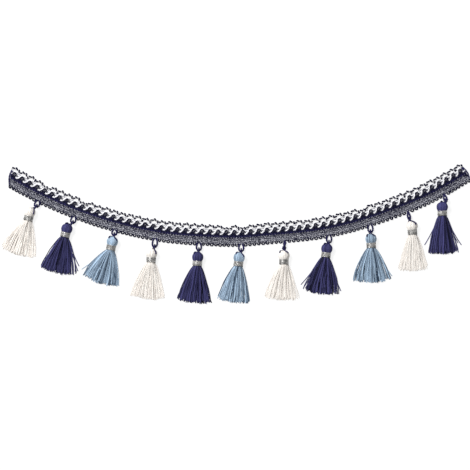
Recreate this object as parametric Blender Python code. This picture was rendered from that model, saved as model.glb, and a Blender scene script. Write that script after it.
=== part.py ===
"""A tassel fringe trim lying face up on a flat surface.

Metres, +Z up. The heading is a flat braid, bowed in the plane of the surface, and eleven
tassels hang from its lower edge towards -Y. The origin is the middle of the heading's underside.
"""

from collections import namedtuple
from math import cos, exp, radians, sin

import bmesh
import bpy
from mathutils import Vector

# ---- driving dimensions (metres and degrees) ----
GAP = 0.0003  # left between two pieces that touch

BOW_RADIUS = 0.384  # of the heading's centreline, as it lies
BOW_START = -30.5  # degrees from -Y, about the centre of the bow
BOW_END = 31.5
END_SLANT = 0.37  # slip along for each metre across, where the left end is cut
SLANT_REACH = 0.030  # how far from the left end the rows still slip

# The braid is laid by hand, so it strays a little from the arc: degrees round the bow where
# it strays most, how far there (positive towards the tassels), and over how many degrees.
Stray = namedtuple("Stray", "place shift spread")
STRAYS = (
    Stray(-22.0, 0.0006, 16.0),
    Stray(-3.8, -0.0010, 3.5),
    Stray(4.9, -0.0019, 4.9),
    Stray(25.8, 0.0005, 3.9),
)

# offsets across the heading from its centreline, positive towards the tassels
ARCH_CREST = -0.0104
ARCH_NOTCH = -0.0080
ARCH_BASE = -0.0065
ROWS_EDGE = 0.0015  # lower edge of the corded rows, where the flat ground begins
GROUND_EDGE = 0.0068
PICOT_NOTCH = 0.0074
PICOT_CREST = 0.0092
ROW_OVERLAP = 0.0010  # how far the thin rows run in under the corded rows
THIN_START = BOW_START + 0.05  # the thin rows stop just short of the corded rows' cut ends
THIN_END = BOW_END - 0.05
THIN_LIFT = 0.0001  # and lie this much higher

BAND_STEPS = 31  # straight steps along each smooth edge of the corded rows
HIDDEN_STEPS = 19
ARCH_COUNT = 58
PICOT_COUNT = 114
LOOP_CLEARANCE = 0.0046  # no picot's middle is closer than this to a loop's

ARCH_THICK = 0.0012
ROWS_THICK = 0.0026
GROUND_THICK = 0.0015

LOOP_CORD = 0.0015  # diameters of the two navy cords
TIE_CORD = 0.0011
LOOP_HALF_WIDTH = 0.00205  # of a loop's centreline, at its widest
LOOP_FULLNESS = 0.2  # how much rounder a loop is below than above
LOOP_OPEN_ANGLE = 138  # degrees from a loop's bottom to each of its legs' ends
LEG_CLEARANCE = 0.0007  # for the slant of a leg's cut end
LOOP_TOP_Z = 0.0010
LOOP_BOTTOM_Z = 0.0028

# the tassel, measured along its own line from the middle of the head
HEAD_TOP = -0.0037
HEAD_HALF_WIDTH = 0.00455
HEAD_HEIGHT = 0.0080
BINDING_TOP = 0.0034
BINDING_END = 0.0083
BINDING_HALF_WIDTH = 0.0043
BINDING_HEIGHT = 0.0068
BINDING_WALL = 0.0006
NECK_PAST_BINDING = 0.00024  # less than GAP, so the neck steps out just before its ends
SKIRT_LENGTH = 0.0315

# One row for each tassel, from left to right. place and drop set the loop: where it leaves the
# heading, in degrees round the bow, and its length from there. swing is the loop's own lean from
# -Y, and across and down lead from the loop's bottom to the middle of the head. lean is the
# neck's lean from -Y, left and right are those of the skirt's two edges. reach scales the skirt.
Tassel = namedtuple("Tassel", "yarn place drop swing across down lean left right reach")
TASSELS = (
    Tassel("ivory", -25.9, 0.0056, -16, -0.0053, -0.0041, -13, -41, 4, 1.00),
    Tassel("navy", -20.9, 0.0060, -13, -0.0047, -0.0044, -15, -35, 11, 1.03),
    Tassel("sky", -15.5, 0.0049, -1, -0.0016, -0.0051, -13, -45, 6, 0.98),
    Tassel("ivory", -10.2, 0.0075, -4, -0.0025, -0.0050, -5, -27, 14, 1.03),
    Tassel("navy", -4.6, 0.0065, 0, -0.0010, -0.0053, -4, -27, 14, 1.04),
    Tassel("sky", 0.8, 0.0062, 0, -0.0018, -0.0050, -7, -28, 11, 1.02),
    Tassel("ivory", 6.4, 0.0077, -7, 0.0000, -0.0048, 0, -25, 16, 1.00),
    Tassel("navy", 12.1, 0.0067, -3, -0.0018, -0.0046, -8, -29, 15, 1.03),
    Tassel("sky", 17.5, 0.0068, 1, 0.0003, -0.0053, 2, -24, 27, 0.97),
    Tassel("ivory", 22.6, 0.0077, 8, 0.0021, -0.0048, 4, -14, 19, 1.00),
    Tassel("navy", 27.7, 0.0065, 10, -0.0033, -0.0043, 2, -14, 18, 1.06),
)

# a tassel's cross-section: across and up, as shares of its half width and of its height
SECTION = (
    (1.00, 0.42),
    (0.84, 0.78),
    (0.42, 1.00),
    (-0.42, 1.00),
    (-0.84, 0.78),
    (-1.00, 0.42),
    (-0.88, 0.10),
    (-0.60, 0.00),
    (0.60, 0.00),
    (0.88, 0.10),
)

# Sections down the tassel: distance from the middle of the head, half width, height of the
# section and of its underside. In the skirt the width comes from the leans of its two edges.
Ring = namedtuple("Ring", "along half_width height lift")
HEAD_RINGS = (
    Ring(HEAD_TOP, 0.0011, 0.0024, 0.0028),
    Ring(-0.0030, 0.0026, 0.0050, 0.0013),
    Ring(-0.0014, 0.0041, 0.0075, 0.0),
    Ring(0.0004, HEAD_HALF_WIDTH, HEAD_HEIGHT, 0.0),
    Ring(0.0020, 0.0044, 0.0077, 0.0),
    Ring(BINDING_TOP - GAP, 0.0038, 0.0068, 0.0002),
)
# distance into the skirt as a share of its length, and the section's height
SKIRT_RINGS = ((0.0, 0.0064), (0.10, 0.0060), (0.30, 0.0047), (0.60, 0.0033), (1.0, 0.0020))

COLOURS = {
    "navy": (0.028, 0.027, 0.080, 1),
    "sky": (0.20, 0.29, 0.41, 1),
    "ivory": (0.80, 0.75, 0.70, 1),
    "silver": (0.38, 0.38, 0.37, 1),
    "braid": (0.12, 0.12, 0.16, 1),
}


def stray(angle):
    """How far the heading lies from its arc here."""
    return sum(one.shift * exp(-(((angle - one.place) / one.spread) ** 2)) for one in STRAYS)


def on_bow(angle, offset):
    """A point of the flat heading: degrees round the bow, and offset from the centreline.
    Near the left end the rows slip past each other, because that end was cut on a slant."""
    turn = radians(angle)
    nearness = max(1 - (turn - radians(BOW_START)) * BOW_RADIUS / SLANT_REACH, 0) ** 2
    turn += END_SLANT * offset * nearness / BOW_RADIUS
    reach = BOW_RADIUS + offset + stray(angle)
    return Vector((reach * sin(turn), BOW_RADIUS - reach * cos(turn), 0))


def towards(lean):
    """The level unit vector that leans this many degrees from -Y, towards +X."""
    return Vector((sin(radians(lean)), -cos(radians(lean)), 0))


def material(name, roughness=0.7, metallic=0.0):
    made = bpy.data.materials.new(name)
    made.use_nodes = True
    shader = made.node_tree.nodes["Principled BSDF"]
    shader.inputs["Base Color"].default_value = COLOURS[name]
    shader.inputs["Roughness"].default_value = roughness
    shader.inputs["Metallic"].default_value = metallic
    return made


# ---- heading ----


def edge(offset, start, end, count):
    """A smooth edge of the heading, as (angle, offset) pairs from start to end."""
    pitch = (end - start) / count
    return [(start + i * pitch, offset) for i in range(count + 1)]


def arch_edge():
    """The upper edge: a low arch of cord in each pitch."""
    pitch = (THIN_END - THIN_START) / ARCH_COUNT
    points = []
    for i in range(ARCH_COUNT):
        start = THIN_START + i * pitch
        points += [(start, ARCH_NOTCH)]
        points += [(start + 0.3 * pitch, ARCH_CREST), (start + 0.7 * pitch, ARCH_CREST)]
    return points + [(THIN_END, ARCH_NOTCH)]


def holds_loop(angle):
    reach = LOOP_CLEARANCE / (BOW_RADIUS + GROUND_EDGE)
    return any(abs(radians(angle - tassel.place)) < reach for tassel in TASSELS)


def picot_edge():
    """The lower edge: small loops of cord, left out where a tassel's loop comes through."""
    pitch = (THIN_END - THIN_START) / PICOT_COUNT
    points = [(THIN_START, GROUND_EDGE)]
    for i in range(PICOT_COUNT):
        start = THIN_START + i * pitch
        if holds_loop(start + 0.5 * pitch):
            points += [(start + 0.15 * pitch, GROUND_EDGE), (start + 0.85 * pitch, GROUND_EDGE)]
        else:
            points += [(start + 0.22 * pitch, PICOT_CREST), (start + 0.78 * pitch, PICOT_CREST)]
            points += [(start + pitch, PICOT_NOTCH)]
    return points


def flat_piece(name, upper, lower, thickness, lift, collection):
    """The braid between two edges, as a mesh with its underside at z = lift."""
    outline = [on_bow(*pair) for pair in upper] + [on_bow(*pair) for pair in reversed(lower)]
    curve = bpy.data.curves.new(name, "CURVE")
    curve.dimensions = "2D"
    curve.fill_mode = "BOTH"
    curve.extrude = thickness / 2
    spline = curve.splines.new("POLY")
    spline.points.add(len(outline) - 1)
    for point, place in zip(spline.points, outline):
        point.co = (*place, 1)
    spline.use_cyclic_u = True
    flat = bpy.data.objects.new(name, curve)
    flat.location.z = lift + thickness / 2
    collection.objects.link(flat)
    return as_mesh(flat)


def as_mesh(flat):
    """The same object as a closed mesh, with its caps welded to its sides."""
    bpy.context.view_layer.update()
    evaluated = flat.evaluated_get(bpy.context.evaluated_depsgraph_get())
    mesh = bpy.data.meshes.new_from_object(evaluated)
    mesh.transform(flat.matrix_world)
    work = bmesh.new()
    work.from_mesh(mesh)
    bmesh.ops.remove_doubles(work, verts=work.verts, dist=1e-6)
    bmesh.ops.recalc_face_normals(work, faces=work.faces)
    work.to_mesh(mesh)
    work.free()
    name, collection = flat.name, flat.users_collection[0]
    bpy.data.objects.remove(flat)
    solid = bpy.data.objects.new(name, mesh)
    collection.objects.link(solid)
    return solid


def make_heading(part, helpers):
    """One braid: the corded rows stand proud of the arch row above and the ground below."""
    upper = edge(ARCH_BASE, BOW_START, BOW_END, BAND_STEPS)
    lower = edge(ROWS_EDGE, BOW_START, BOW_END, BAND_STEPS)
    heading = flat_piece("heading", upper, lower, ROWS_THICK, 0, part)
    heading.data.materials.append(material("braid"))
    arch_foot = edge(ARCH_BASE + ROW_OVERLAP, THIN_START, THIN_END, HIDDEN_STEPS)
    ground_top = edge(ROWS_EDGE - ROW_OVERLAP, THIN_START, THIN_END, HIDDEN_STEPS)
    thin_rows = (
        ("arch_row", arch_edge(), arch_foot, ARCH_THICK),
        ("ground_row", ground_top, picot_edge(), GROUND_THICK),
    )
    for name, upper, lower, thickness in thin_rows:
        row = flat_piece(name, upper, lower, thickness, THIN_LIFT, helpers)
        row.hide_render = True
        row.display_type = "WIRE"
        union = heading.modifiers.new(name, "BOOLEAN")
        union.operation = "UNION"
        union.object = row


# ---- cords ----


def make_cord(name, points, diameter, part, skin):
    curve = bpy.data.curves.new(name, "CURVE")
    curve.dimensions = "3D"
    curve.bevel_depth = diameter / 2
    curve.bevel_resolution = 2
    curve.use_fill_caps = True
    spline = curve.splines.new("POLY")
    spline.points.add(len(points) - 1)
    for point, place in zip(spline.points, points):
        point.co = (*place, 1)
    spline.use_smooth = True
    curve.materials.append(skin)
    part.objects.link(bpy.data.objects.new(name, curve))


def loop_bottom(tassel):
    """The middle of the cord at the loop's lowest point."""
    root = on_bow(tassel.place, GROUND_EDGE)
    return root + tassel.drop * towards(tassel.swing) + Vector((0, 0, LOOP_BOTTOM_Z))


def loop_points(tassel, count=9):
    """An upright oval, open at the top, that rises from the heading to its bottom."""
    root = on_bow(tassel.place, GROUND_EDGE + GAP + LEG_CLEARANCE)
    down = towards(tassel.swing)
    across = Vector((-down.y, down.x, 0))
    depth = (loop_bottom(tassel) - root).to_2d().length
    half_height = depth / (1 - cos(radians(LOOP_OPEN_ANGLE)))
    points = []
    for i in range(count):
        turn = radians(LOOP_OPEN_ANGLE * (2 * i / (count - 1) - 1))
        fall = depth - half_height * (1 - cos(turn))
        rise = LOOP_TOP_Z + (LOOP_BOTTOM_Z - LOOP_TOP_Z) * fall / depth
        side = LOOP_HALF_WIDTH * sin(turn) * (1 + LOOP_FULLNESS * cos(turn))
        points.append(root + fall * down + side * across + Vector((0, 0, rise)))
    return points


def head_middle(tassel):
    return loop_bottom(tassel).to_2d().to_3d() + Vector((tassel.across, tassel.down, 0))


def tie_points(tassel):
    """Up from one shoulder, under the loop, round its cord, and down over the other shoulder."""
    bottom = loop_bottom(tassel)
    into_loop = -towards(tassel.swing)
    bend = (LOOP_CORD + TIE_CORD) / 2 + 1.5 * GAP
    up = Vector((0, 0, 1))
    bight = [
        bottom + bend * (cos(radians(turn)) * into_loop + sin(radians(turn)) * up)
        for turn in (-90, -40, 0, 40, 90)
    ]
    middle = head_middle(tassel)
    to_loop = (bottom - middle).to_2d().to_3d().normalized()
    across = Vector((to_loop.y, -to_loop.x, 0))
    spare = TIE_CORD / 2 + 2 * GAP
    long_reach = spare - HEAD_TOP
    side_reach = spare + HEAD_HALF_WIDTH
    up_reach = spare + HEAD_HEIGHT / 2
    centre = middle + Vector((0, 0, HEAD_HEIGHT / 2))

    def over_head(bearing, rise):
        """A place just clear of the head: degrees round from the loop, and up from level."""
        level = cos(radians(rise))
        ahead = long_reach * level * cos(radians(bearing))
        sideways = side_reach * level * sin(radians(bearing))
        up = Vector((0, 0, up_reach * sin(radians(rise))))
        return centre + ahead * to_loop + sideways * across + up

    left = [over_head(-72, 30), over_head(-56, 14), over_head(-40, -8), over_head(-18, -28)]
    right = [over_head(14, 24), over_head(42, 35), over_head(72, 36)]
    return left + bight + right


# ---- tassels ----


def rings_to_mesh(name, rings, ends_meet=False):
    """A closed mesh through rings of points: capped at its ends, or joined end to end."""
    work = bmesh.new()
    rows = [[work.verts.new(point) for point in ring] for ring in rings]
    following = rows[1:] + rows[:1] if ends_meet else rows[1:]
    for row, next_row in zip(rows, following):
        for i in range(len(row)):
            j = (i + 1) % len(row)
            work.faces.new((row[i], row[j], next_row[j], next_row[i]))
    if not ends_meet:
        work.faces.new(rows[0])
        work.faces.new(rows[-1])
    bmesh.ops.recalc_face_normals(work, faces=work.faces)
    mesh = bpy.data.meshes.new(name)
    work.to_mesh(mesh)
    work.free()
    mesh.shade_smooth()
    mesh.set_sharp_from_angle(angle=radians(40))
    return mesh


def body_ring(tassel, ring):
    """A section of the head or neck, square to the tassel's line."""
    down = towards(tassel.lean)
    across = Vector((-down.y, down.x, 0))
    middle = head_middle(tassel) + ring.along * down
    return [
        middle + side * ring.half_width * across + Vector((0, 0, ring.lift + up * ring.height))
        for side, up in SECTION
    ]


def skirt_ring(tassel, share, height):
    """A section of the skirt, which opens from the neck between its two edges' leans."""
    down = towards(tassel.lean)
    across = Vector((-down.y, down.x, 0))
    neck = head_middle(tassel) + (BINDING_END + GAP) * down
    reach = share * tassel.reach * SKIRT_LENGTH
    points = []
    for side, up in SECTION:
        lean = tassel.left + (tassel.right - tassel.left) * (side + 1) / 2
        start = neck + side * BINDING_HALF_WIDTH * across
        points.append(start + reach * towards(lean) + Vector((0, 0, up * height)))
    return points


def make_tassel(name, tassel, part, skin):
    """A hank of yarn: a round head, a neck inside the binding, and a skirt splayed flat."""
    inset = BINDING_WALL + GAP
    neck = Ring(0, BINDING_HALF_WIDTH - inset, BINDING_HEIGHT - 2 * inset, inset)
    rings = [body_ring(tassel, ring) for ring in HEAD_RINGS]
    for along in (BINDING_TOP - NECK_PAST_BINDING, BINDING_END + NECK_PAST_BINDING):
        rings.append(body_ring(tassel, neck._replace(along=along)))
    rings += [skirt_ring(tassel, share, height) for share, height in SKIRT_RINGS]
    mesh = rings_to_mesh(name, rings)
    mesh.materials.append(skin)
    part.objects.link(bpy.data.objects.new(name, mesh))


def make_binding(name, tassel, part, skin):
    """A sleeve round the neck: out along its outer face, and back along its inner one."""
    outer = Ring(0, BINDING_HALF_WIDTH, BINDING_HEIGHT, 0)
    inner = Ring(
        0, BINDING_HALF_WIDTH - BINDING_WALL, BINDING_HEIGHT - 2 * BINDING_WALL, BINDING_WALL
    )
    corners = ((outer, BINDING_TOP), (outer, BINDING_END), (inner, BINDING_END), (inner, BINDING_TOP))
    rings = [body_ring(tassel, ring._replace(along=along)) for ring, along in corners]
    mesh = rings_to_mesh(name, rings, ends_meet=True)
    mesh.materials.append(skin)
    part.objects.link(bpy.data.objects.new(name, mesh))


def main():
    for old in list(bpy.data.objects):
        bpy.data.objects.remove(old)
    part = bpy.data.collections.new("fringe_trim")
    helpers = bpy.data.collections.new("helpers")
    for collection in (part, helpers):
        bpy.context.scene.collection.children.link(collection)
    skins = {
        "navy": material("navy", roughness=0.45),
        "sky": material("sky", roughness=0.40),
        "ivory": material("ivory", roughness=0.50),
        "silver": material("silver", roughness=0.35, metallic=0.8),
    }
    make_heading(part, helpers)
    for number, tassel in enumerate(TASSELS, start=1):
        make_cord(f"loop_{number:02d}", loop_points(tassel), LOOP_CORD, part, skins["navy"])
        make_cord(f"tie_{number:02d}", tie_points(tassel), TIE_CORD, part, skins["navy"])
        make_tassel(f"tassel_{number:02d}", tassel, part, skins[tassel.yarn])
        make_binding(f"binding_{number:02d}", tassel, part, skins["silver"])


main()
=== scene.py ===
"""A tassel fringe trim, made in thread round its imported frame.

The braid is laid out flat, in metres along it and across it, and then bent round its bow.
The tassels are made upright, about the middle of their heads, and then turned into place.
"""

from collections import namedtuple
from math import cos, exp, pi, radians, sin, tau

import bpy
from bpy.props import FloatProperty, FloatVectorProperty, IntProperty, PointerProperty
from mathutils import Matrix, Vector


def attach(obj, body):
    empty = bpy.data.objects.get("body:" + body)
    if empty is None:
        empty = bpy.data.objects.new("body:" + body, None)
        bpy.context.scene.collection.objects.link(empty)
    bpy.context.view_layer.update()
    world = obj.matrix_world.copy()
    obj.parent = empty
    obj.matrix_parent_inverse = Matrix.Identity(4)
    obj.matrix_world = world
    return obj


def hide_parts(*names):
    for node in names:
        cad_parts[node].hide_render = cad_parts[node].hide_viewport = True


bl_info = {
    "name": "Tassel Fringe Trim",
    "version": (1, 0, 0),
    "blender": (4, 5, 0),
    "location": "3D View > Sidebar > Fringe",
    "description": "Makes a bowed gimp braid with looped tassels, in thread",
    "category": "Add Mesh",
}

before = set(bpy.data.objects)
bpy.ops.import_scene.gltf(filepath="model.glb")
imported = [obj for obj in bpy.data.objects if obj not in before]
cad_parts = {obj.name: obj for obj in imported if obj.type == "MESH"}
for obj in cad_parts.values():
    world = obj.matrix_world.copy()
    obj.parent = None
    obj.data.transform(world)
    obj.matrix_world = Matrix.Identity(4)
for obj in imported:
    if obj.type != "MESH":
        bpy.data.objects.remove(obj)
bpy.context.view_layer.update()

GEOMETRY = "NodeSocketGeometry"
NUMBER = "NodeSocketFloat"
WHOLE = "NodeSocketInt"
ARROW = "NodeSocketVector"
MATERIAL = "NodeSocketMaterial"

# The places of sockets that share their names with others on the same node.
RANDOM_LOW, RANDOM_HIGH, RANDOM_ID, RANDOM_SEED, RANDOM_RESULT = 2, 3, 7, 8, 1
MIX_AMOUNT, MIX_DARK, MIX_LIGHT, MIX_RESULT = 0, 6, 7, 2
AS_ARROW, AS_NUMBER = 1, 2
OBJECT_PLACE = 3

# ---- the fixed frame's own sizes (metres and degrees) ----

# Where the braid strays from its bow: the middle of each stray, how far out it goes, and how
# many degrees it spreads.
Stray = namedtuple("Stray", "place shift spread")
STRAYS = (
    Stray(-22.0, 0.0006, 16.0),
    Stray(-3.8, -0.0010, 3.5),
    Stray(4.9, -0.0019, 4.9),
    Stray(25.8, 0.0005, 3.9),
)

# The left end is cut on a slant: its rows slip along each other.
END_SLANT = 0.37  # how far a row slips for each metre across, at the end itself
SLANT_REACH = 0.030  # how far from the end the rows still slip

# Offsets across the braid from its centreline, positive towards the tassels.
CLOTH_TOP = -0.0064
CLOTH_END = 0.0064
GROUND_TOP = 0.0014
GROUND_END = 0.0066
GROUND_EDGE = 0.0068

# A hanging loop, which leaves the ground's edge.
LOOP_CLEARANCE = 0.0037  # from a loop's middle to the nearest picot's
LOOP_ROOT = 0.0004  # how far under the ground's edge its round starts
LOOP_TAIL = 0.0012  # how far its legs run back into the ground
LOOP_HALF_WIDTH = 0.00205
LOOP_FULLNESS = 0.2
LOOP_OPEN_ANGLE = 138
LOOP_TURN_OVER = 1.5  # how high a twisted loop's upper side stands, as a share of its half width
LOOP_TOP_Z = 0.0010
LOOP_BOTTOM_Z = 0.0028
CORD_GAP = 0.0003

# A tassel, down from the middle of its head.
HEAD_TOP = -0.0037
HEAD_HALF_WIDTH = 0.00455
HEAD_HEIGHT = 0.0080
BINDING_TOP = 0.0034
BINDING_END = 0.0083
BINDING_HALF_WIDTH = 0.0043
BINDING_HEIGHT = 0.0068
SKIRT_LENGTH = 0.0315

# One row for each tassel, from left to right. open says how wide the top of its loop stands,
# twist how far the loop turns over on its way down, and tie how the tie lies on the head: over
# both shoulders, over the right one, or across the front.
Tassel = namedtuple(
    "Tassel", "yarn place drop swing across down lean left right reach open twist tie"
)
TASSELS = (
    Tassel("ivory", -25.9, 0.0056, -16, -0.0053, -0.0041, -13, -41, 4, 1.00, 1.0, 0, "right"),
    Tassel("navy", -20.9, 0.0060, -13, -0.0047, -0.0044, -15, -35, 11, 1.03, 1.0, 0, "both"),
    Tassel("sky", -15.5, 0.0049, -1, -0.0016, -0.0051, -13, -45, 6, 0.98, 1.0, 0, "both"),
    Tassel("ivory", -10.2, 0.0075, -4, -0.0025, -0.0050, -5, -27, 14, 1.03, 1.0, 0, "right"),
    Tassel("navy", -4.6, 0.0065, 0, -0.0010, -0.0053, -4, -27, 14, 1.04, 1.0, 0, "both"),
    Tassel("sky", 0.8, 0.0062, 0, -0.0018, -0.0050, -7, -28, 11, 1.02, 1.0, 0, "both"),
    Tassel("ivory", 6.4, 0.0077, -7, 0.0000, -0.0048, 0, -25, 16, 1.00, 0.35, 170, "both"),
    Tassel("navy", 12.1, 0.0067, -3, -0.0018, -0.0046, -8, -29, 15, 1.03, 1.0, 0, "both"),
    Tassel("sky", 17.5, 0.0068, 1, 0.0003, -0.0053, 2, -24, 27, 0.97, 1.0, 0, "both"),
    Tassel("ivory", 22.6, 0.0077, 8, 0.0021, -0.0048, 4, -14, 19, 1.00, 0.15, 70, "front"),
    Tassel("navy", 27.7, 0.0065, 10, -0.0033, -0.0043, 2, -14, 18, 1.06, 0.3, 60, "both"),
)

# Stray strands that stand away from their skirts: which tassel, which side of its neck they
# leave (-1 left, 1 right), their lean, and their reach as a share of the skirt's length.
Wisp = namedtuple("Wisp", "tassel side lean reach")
WISPS = (
    Wisp(1, -1, -48, 1.00),
    Wisp(1, 1, 12, 0.96),
    Wisp(2, 1, 26, 0.86),
    Wisp(2, 1, 21, 0.97),
    Wisp(2, -1, -41, 0.98),
    Wisp(3, -1, -57, 0.98),
    Wisp(3, -1, -50, 0.97),
    Wisp(3, 1, 13, 1.03),
    Wisp(6, -1, -33, 1.03),
    Wisp(6, 1, 18, 1.00),
    Wisp(8, -1, -42, 0.98),
    Wisp(8, -1, -36, 0.96),
    Wisp(8, 1, 25, 0.99),
    Wisp(8, 1, 20, 0.97),
    Wisp(9, 1, 37, 1.00),
    Wisp(9, -1, -29, 1.02),
    Wisp(11, -1, -31, 0.88),
    Wisp(11, 1, 34, 0.91),
    Wisp(11, 1, 31, 0.82),
)

# How each yarn is spun: strands in a skirt, their diameter, strands round a head, theirs.
Yarn = namedtuple("Yarn", "strands width head_strands head_width")
YARNS = {
    "navy": Yarn(200, 0.00080, 78, 0.00060),
    "sky": Yarn(200, 0.00080, 78, 0.00060),
    "ivory": Yarn(270, 0.00066, 84, 0.00058),
}

# The head's outline: distance from its middle, half width, height, and height of its underside.
HEAD_OUTLINE = (
    (-0.0038, 0.0003, 0.0010, 0.0035),
    (-0.0036, 0.0017, 0.0034, 0.0023),
    (-0.0030, 0.0029, 0.0054, 0.0011),
    (-0.0015, 0.0044, 0.0075, 0.0000),
    (0.0004, 0.0048, 0.0080, 0.0000),
    (0.0020, 0.0046, 0.0077, 0.0000),
    (0.0031, 0.0041, 0.0070, 0.0001),
    (0.0050, 0.0033, 0.0050, 0.0010),
)

# How each cord of the braid is laid in one repeat: shares of the repeat along, metres across
# from the centreline (positive towards the tassels), and metres up.
GIMP_LAY = (
    (0.00, -0.0027, 0.0023),
    (0.10, -0.0032, 0.0022),
    (0.20, -0.0038, 0.0019),
    (0.28, -0.0048, 0.0016),
    (0.38, -0.0058, 0.0015),
    (0.50, -0.0060, 0.0015),
    (0.58, -0.0053, 0.0014),
    (0.62, -0.0040, 0.0013),
    (0.66, -0.0030, 0.0014),
    (0.74, -0.0018, 0.0018),
    (0.87, -0.0019, 0.0022),
    (1.00, -0.0027, 0.0023),
)
HOOK_LAY = (
    (0.00, -0.0002, 0.0018),
    (0.10, -0.0005, 0.0021),
    (0.19, -0.0014, 0.0025),
    (0.24, -0.0026, 0.0029),
    (0.27, -0.0039, 0.0031),
    (0.35, -0.0049, 0.0032),
    (0.46, -0.0053, 0.0032),
    (0.58, -0.0050, 0.0032),
    (0.66, -0.0041, 0.0031),
    (0.62, -0.0032, 0.0030),
    (0.52, -0.0026, 0.0029),
    (0.45, -0.0018, 0.0027),
    (0.50, -0.0009, 0.0024),
    (0.66, -0.0003, 0.0020),
    (1.00, -0.0002, 0.0018),
)


# ---- what a user would change ----


def length(label, words, metres):
    return FloatProperty(
        name=label, description=words, default=metres, min=0, unit="LENGTH", precision=5
    )


def angle(label, words, degrees):
    return FloatProperty(
        name=label, description=words, default=radians(degrees), subtype="ANGLE"
    )


def count(label, words, number):
    return IntProperty(name=label, description=words, default=number, min=1)


def share(label, words, number):
    return FloatProperty(name=label, description=words, default=number, min=0)


def colour(label, words, rgb):
    return FloatVectorProperty(
        name=label, description=words, default=rgb, subtype="COLOR", min=0, max=1
    )


class BraidSettings(bpy.types.PropertyGroup):
    """Sizes of the gimp braid."""

    bow_radius: length("Bow radius", "Radius of the arc that the braid lies in", 0.384)
    bow_start: angle("Bow start", "Where the braid's left end lies, from straight down", -30.5)
    bow_end: angle("Bow end", "Where the braid's right end lies, from straight down", 31.5)
    repeats: count("Repeats", "Repeats of the braid's pattern in its length", 58)
    picot_pitch: length("Picot pitch", "Distance from one picot to the next", 0.00365)
    end_width: length("End cords", "Diameter of the cords that close the cut ends", 0.0016)
    arch_width: length("Arch cord", "Diameter of the two-tone cord on the upper edge", 0.0027)
    gimp_width: length("Gimp", "Diameter of the white gimp", 0.0015)
    hook_width: length("Hook cord", "Diameter of the hooks' cord", 0.0014)
    plait_width: length("Plait cord", "Diameter of each cord in the navy row", 0.0013)
    tacking_width: length("Tacking", "Diameter of the thread under the navy row", 0.0005)
    picot_width: length("Picot cord", "Diameter of the cord of the picots", 0.0017)
    ground_width: length("Ground thread", "Diameter of each thread of the ground", 0.00105)
    ground_threads: count("Ground threads", "Threads of the ground each way", 290)
    cloth_thickness: length("Cloth thickness", "Thickness of the cloth under the cords", 0.0009)


class TasselSettings(bpy.types.PropertyGroup):
    """Sizes of the tassels and what they hang by."""

    loop_width: length("Loop cord", "Diameter of a hanging loop's cord", 0.0020)
    tie_width: length("Tie cord", "Diameter of the cord that ties on a tassel", 0.0014)
    fullness: share("Fullness", "Strands in a tassel, as a share of its yarn's usual number", 1.0)
    wisp_width: length("Wisp", "Diameter of a strand that stands away", 0.00085)
    locks: count("Locks", "Locks that a skirt's strands gather into", 19)
    binding_turns: count("Binding turns", "Turns of thread round a neck", 7)
    binding_thread: length("Binding thread", "Diameter of the binding's thread", 0.00066)


class FinishSettings(bpy.types.PropertyGroup):
    """Colours of the yarns and threads, dark and light."""

    navy_dark: colour("Navy, dark", "Darkest navy", (0.002, 0.002, 0.009))
    navy_light: colour("Navy, light", "Lightest navy", (0.088, 0.086, 0.25))
    sky_dark: colour("Sky, dark", "Darkest light blue", (0.012, 0.030, 0.065))
    sky_light: colour("Sky, light", "Lightest light blue", (0.58, 0.76, 0.95))
    ivory_dark: colour("Ivory, dark", "Darkest ivory", (0.74, 0.695, 0.65))
    ivory_light: colour("Ivory, light", "Lightest ivory", (0.88, 0.85, 0.81))
    white_dark: colour("White, dark", "Darkest white gimp", (0.78, 0.78, 0.82))
    white_light: colour("White, light", "Lightest white gimp", (0.95, 0.95, 0.95))
    cord_dark: colour("Cord, dark", "Darkest navy of the cords", (0.003, 0.003, 0.016))
    cord_light: colour("Cord, light", "Lightest navy of the cords", (0.040, 0.038, 0.135))
    grey_dark: colour("Grey, dark", "Darkest silver-grey thread", (0.022, 0.023, 0.052))
    grey_light: colour("Grey, light", "Lightest silver-grey thread", (0.66, 0.665, 0.72))
    # The metal's dark and light colours are painted reflections, mixed by the bindings' painted
    # glints.
    metal_painted_dark: colour("Metal, dark", "Darkest metallic thread", (0.03, 0.03, 0.03))
    metal_painted_bright: colour("Metal, light", "Lightest metallic thread", (0.72, 0.71, 0.69))


class StudioSettings(bpy.types.PropertyGroup):
    """The floor, the light and the camera."""

    floor_side: length("Floor side", "Side of the square floor", 8.0)
    floor_tone: share("Floor tone", "How light the floor is, from 0 to 1", 0.18)
    key_power: share("Key light", "Power of the large soft light, in watts", 36.0)
    fill_power: share("Fill light", "Strength of the light from all round", 0.40)
    floor_glow: share("Floor glow", "Light that comes up through the floor", 0.83)
    camera_height: length("Camera height", "Height of the camera over the floor", 1.136)
    lens: FloatProperty(
        name="Lens", description="Focal length", default=100, subtype="DISTANCE_CAMERA"
    )


# ---- wiring node trees ----


class Reading:
    """What a socket gives, which takes part in sums as a number does."""

    def __init__(self, net, socket):
        self.net = net
        self.socket = socket

    def __add__(self, other):
        return self.net.sum("ADD", self, other)

    def __radd__(self, other):
        return self.net.sum("ADD", other, self)

    def __sub__(self, other):
        return self.net.sum("SUBTRACT", self, other)

    def __rsub__(self, other):
        return self.net.sum("SUBTRACT", other, self)

    def __mul__(self, other):
        return self.net.sum("MULTIPLY", self, other)

    def __rmul__(self, other):
        return self.net.sum("MULTIPLY", other, self)

    def __truediv__(self, other):
        return self.net.sum("DIVIDE", self, other)

    def __pow__(self, other):
        return self.net.sum("POWER", self, other)


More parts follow.
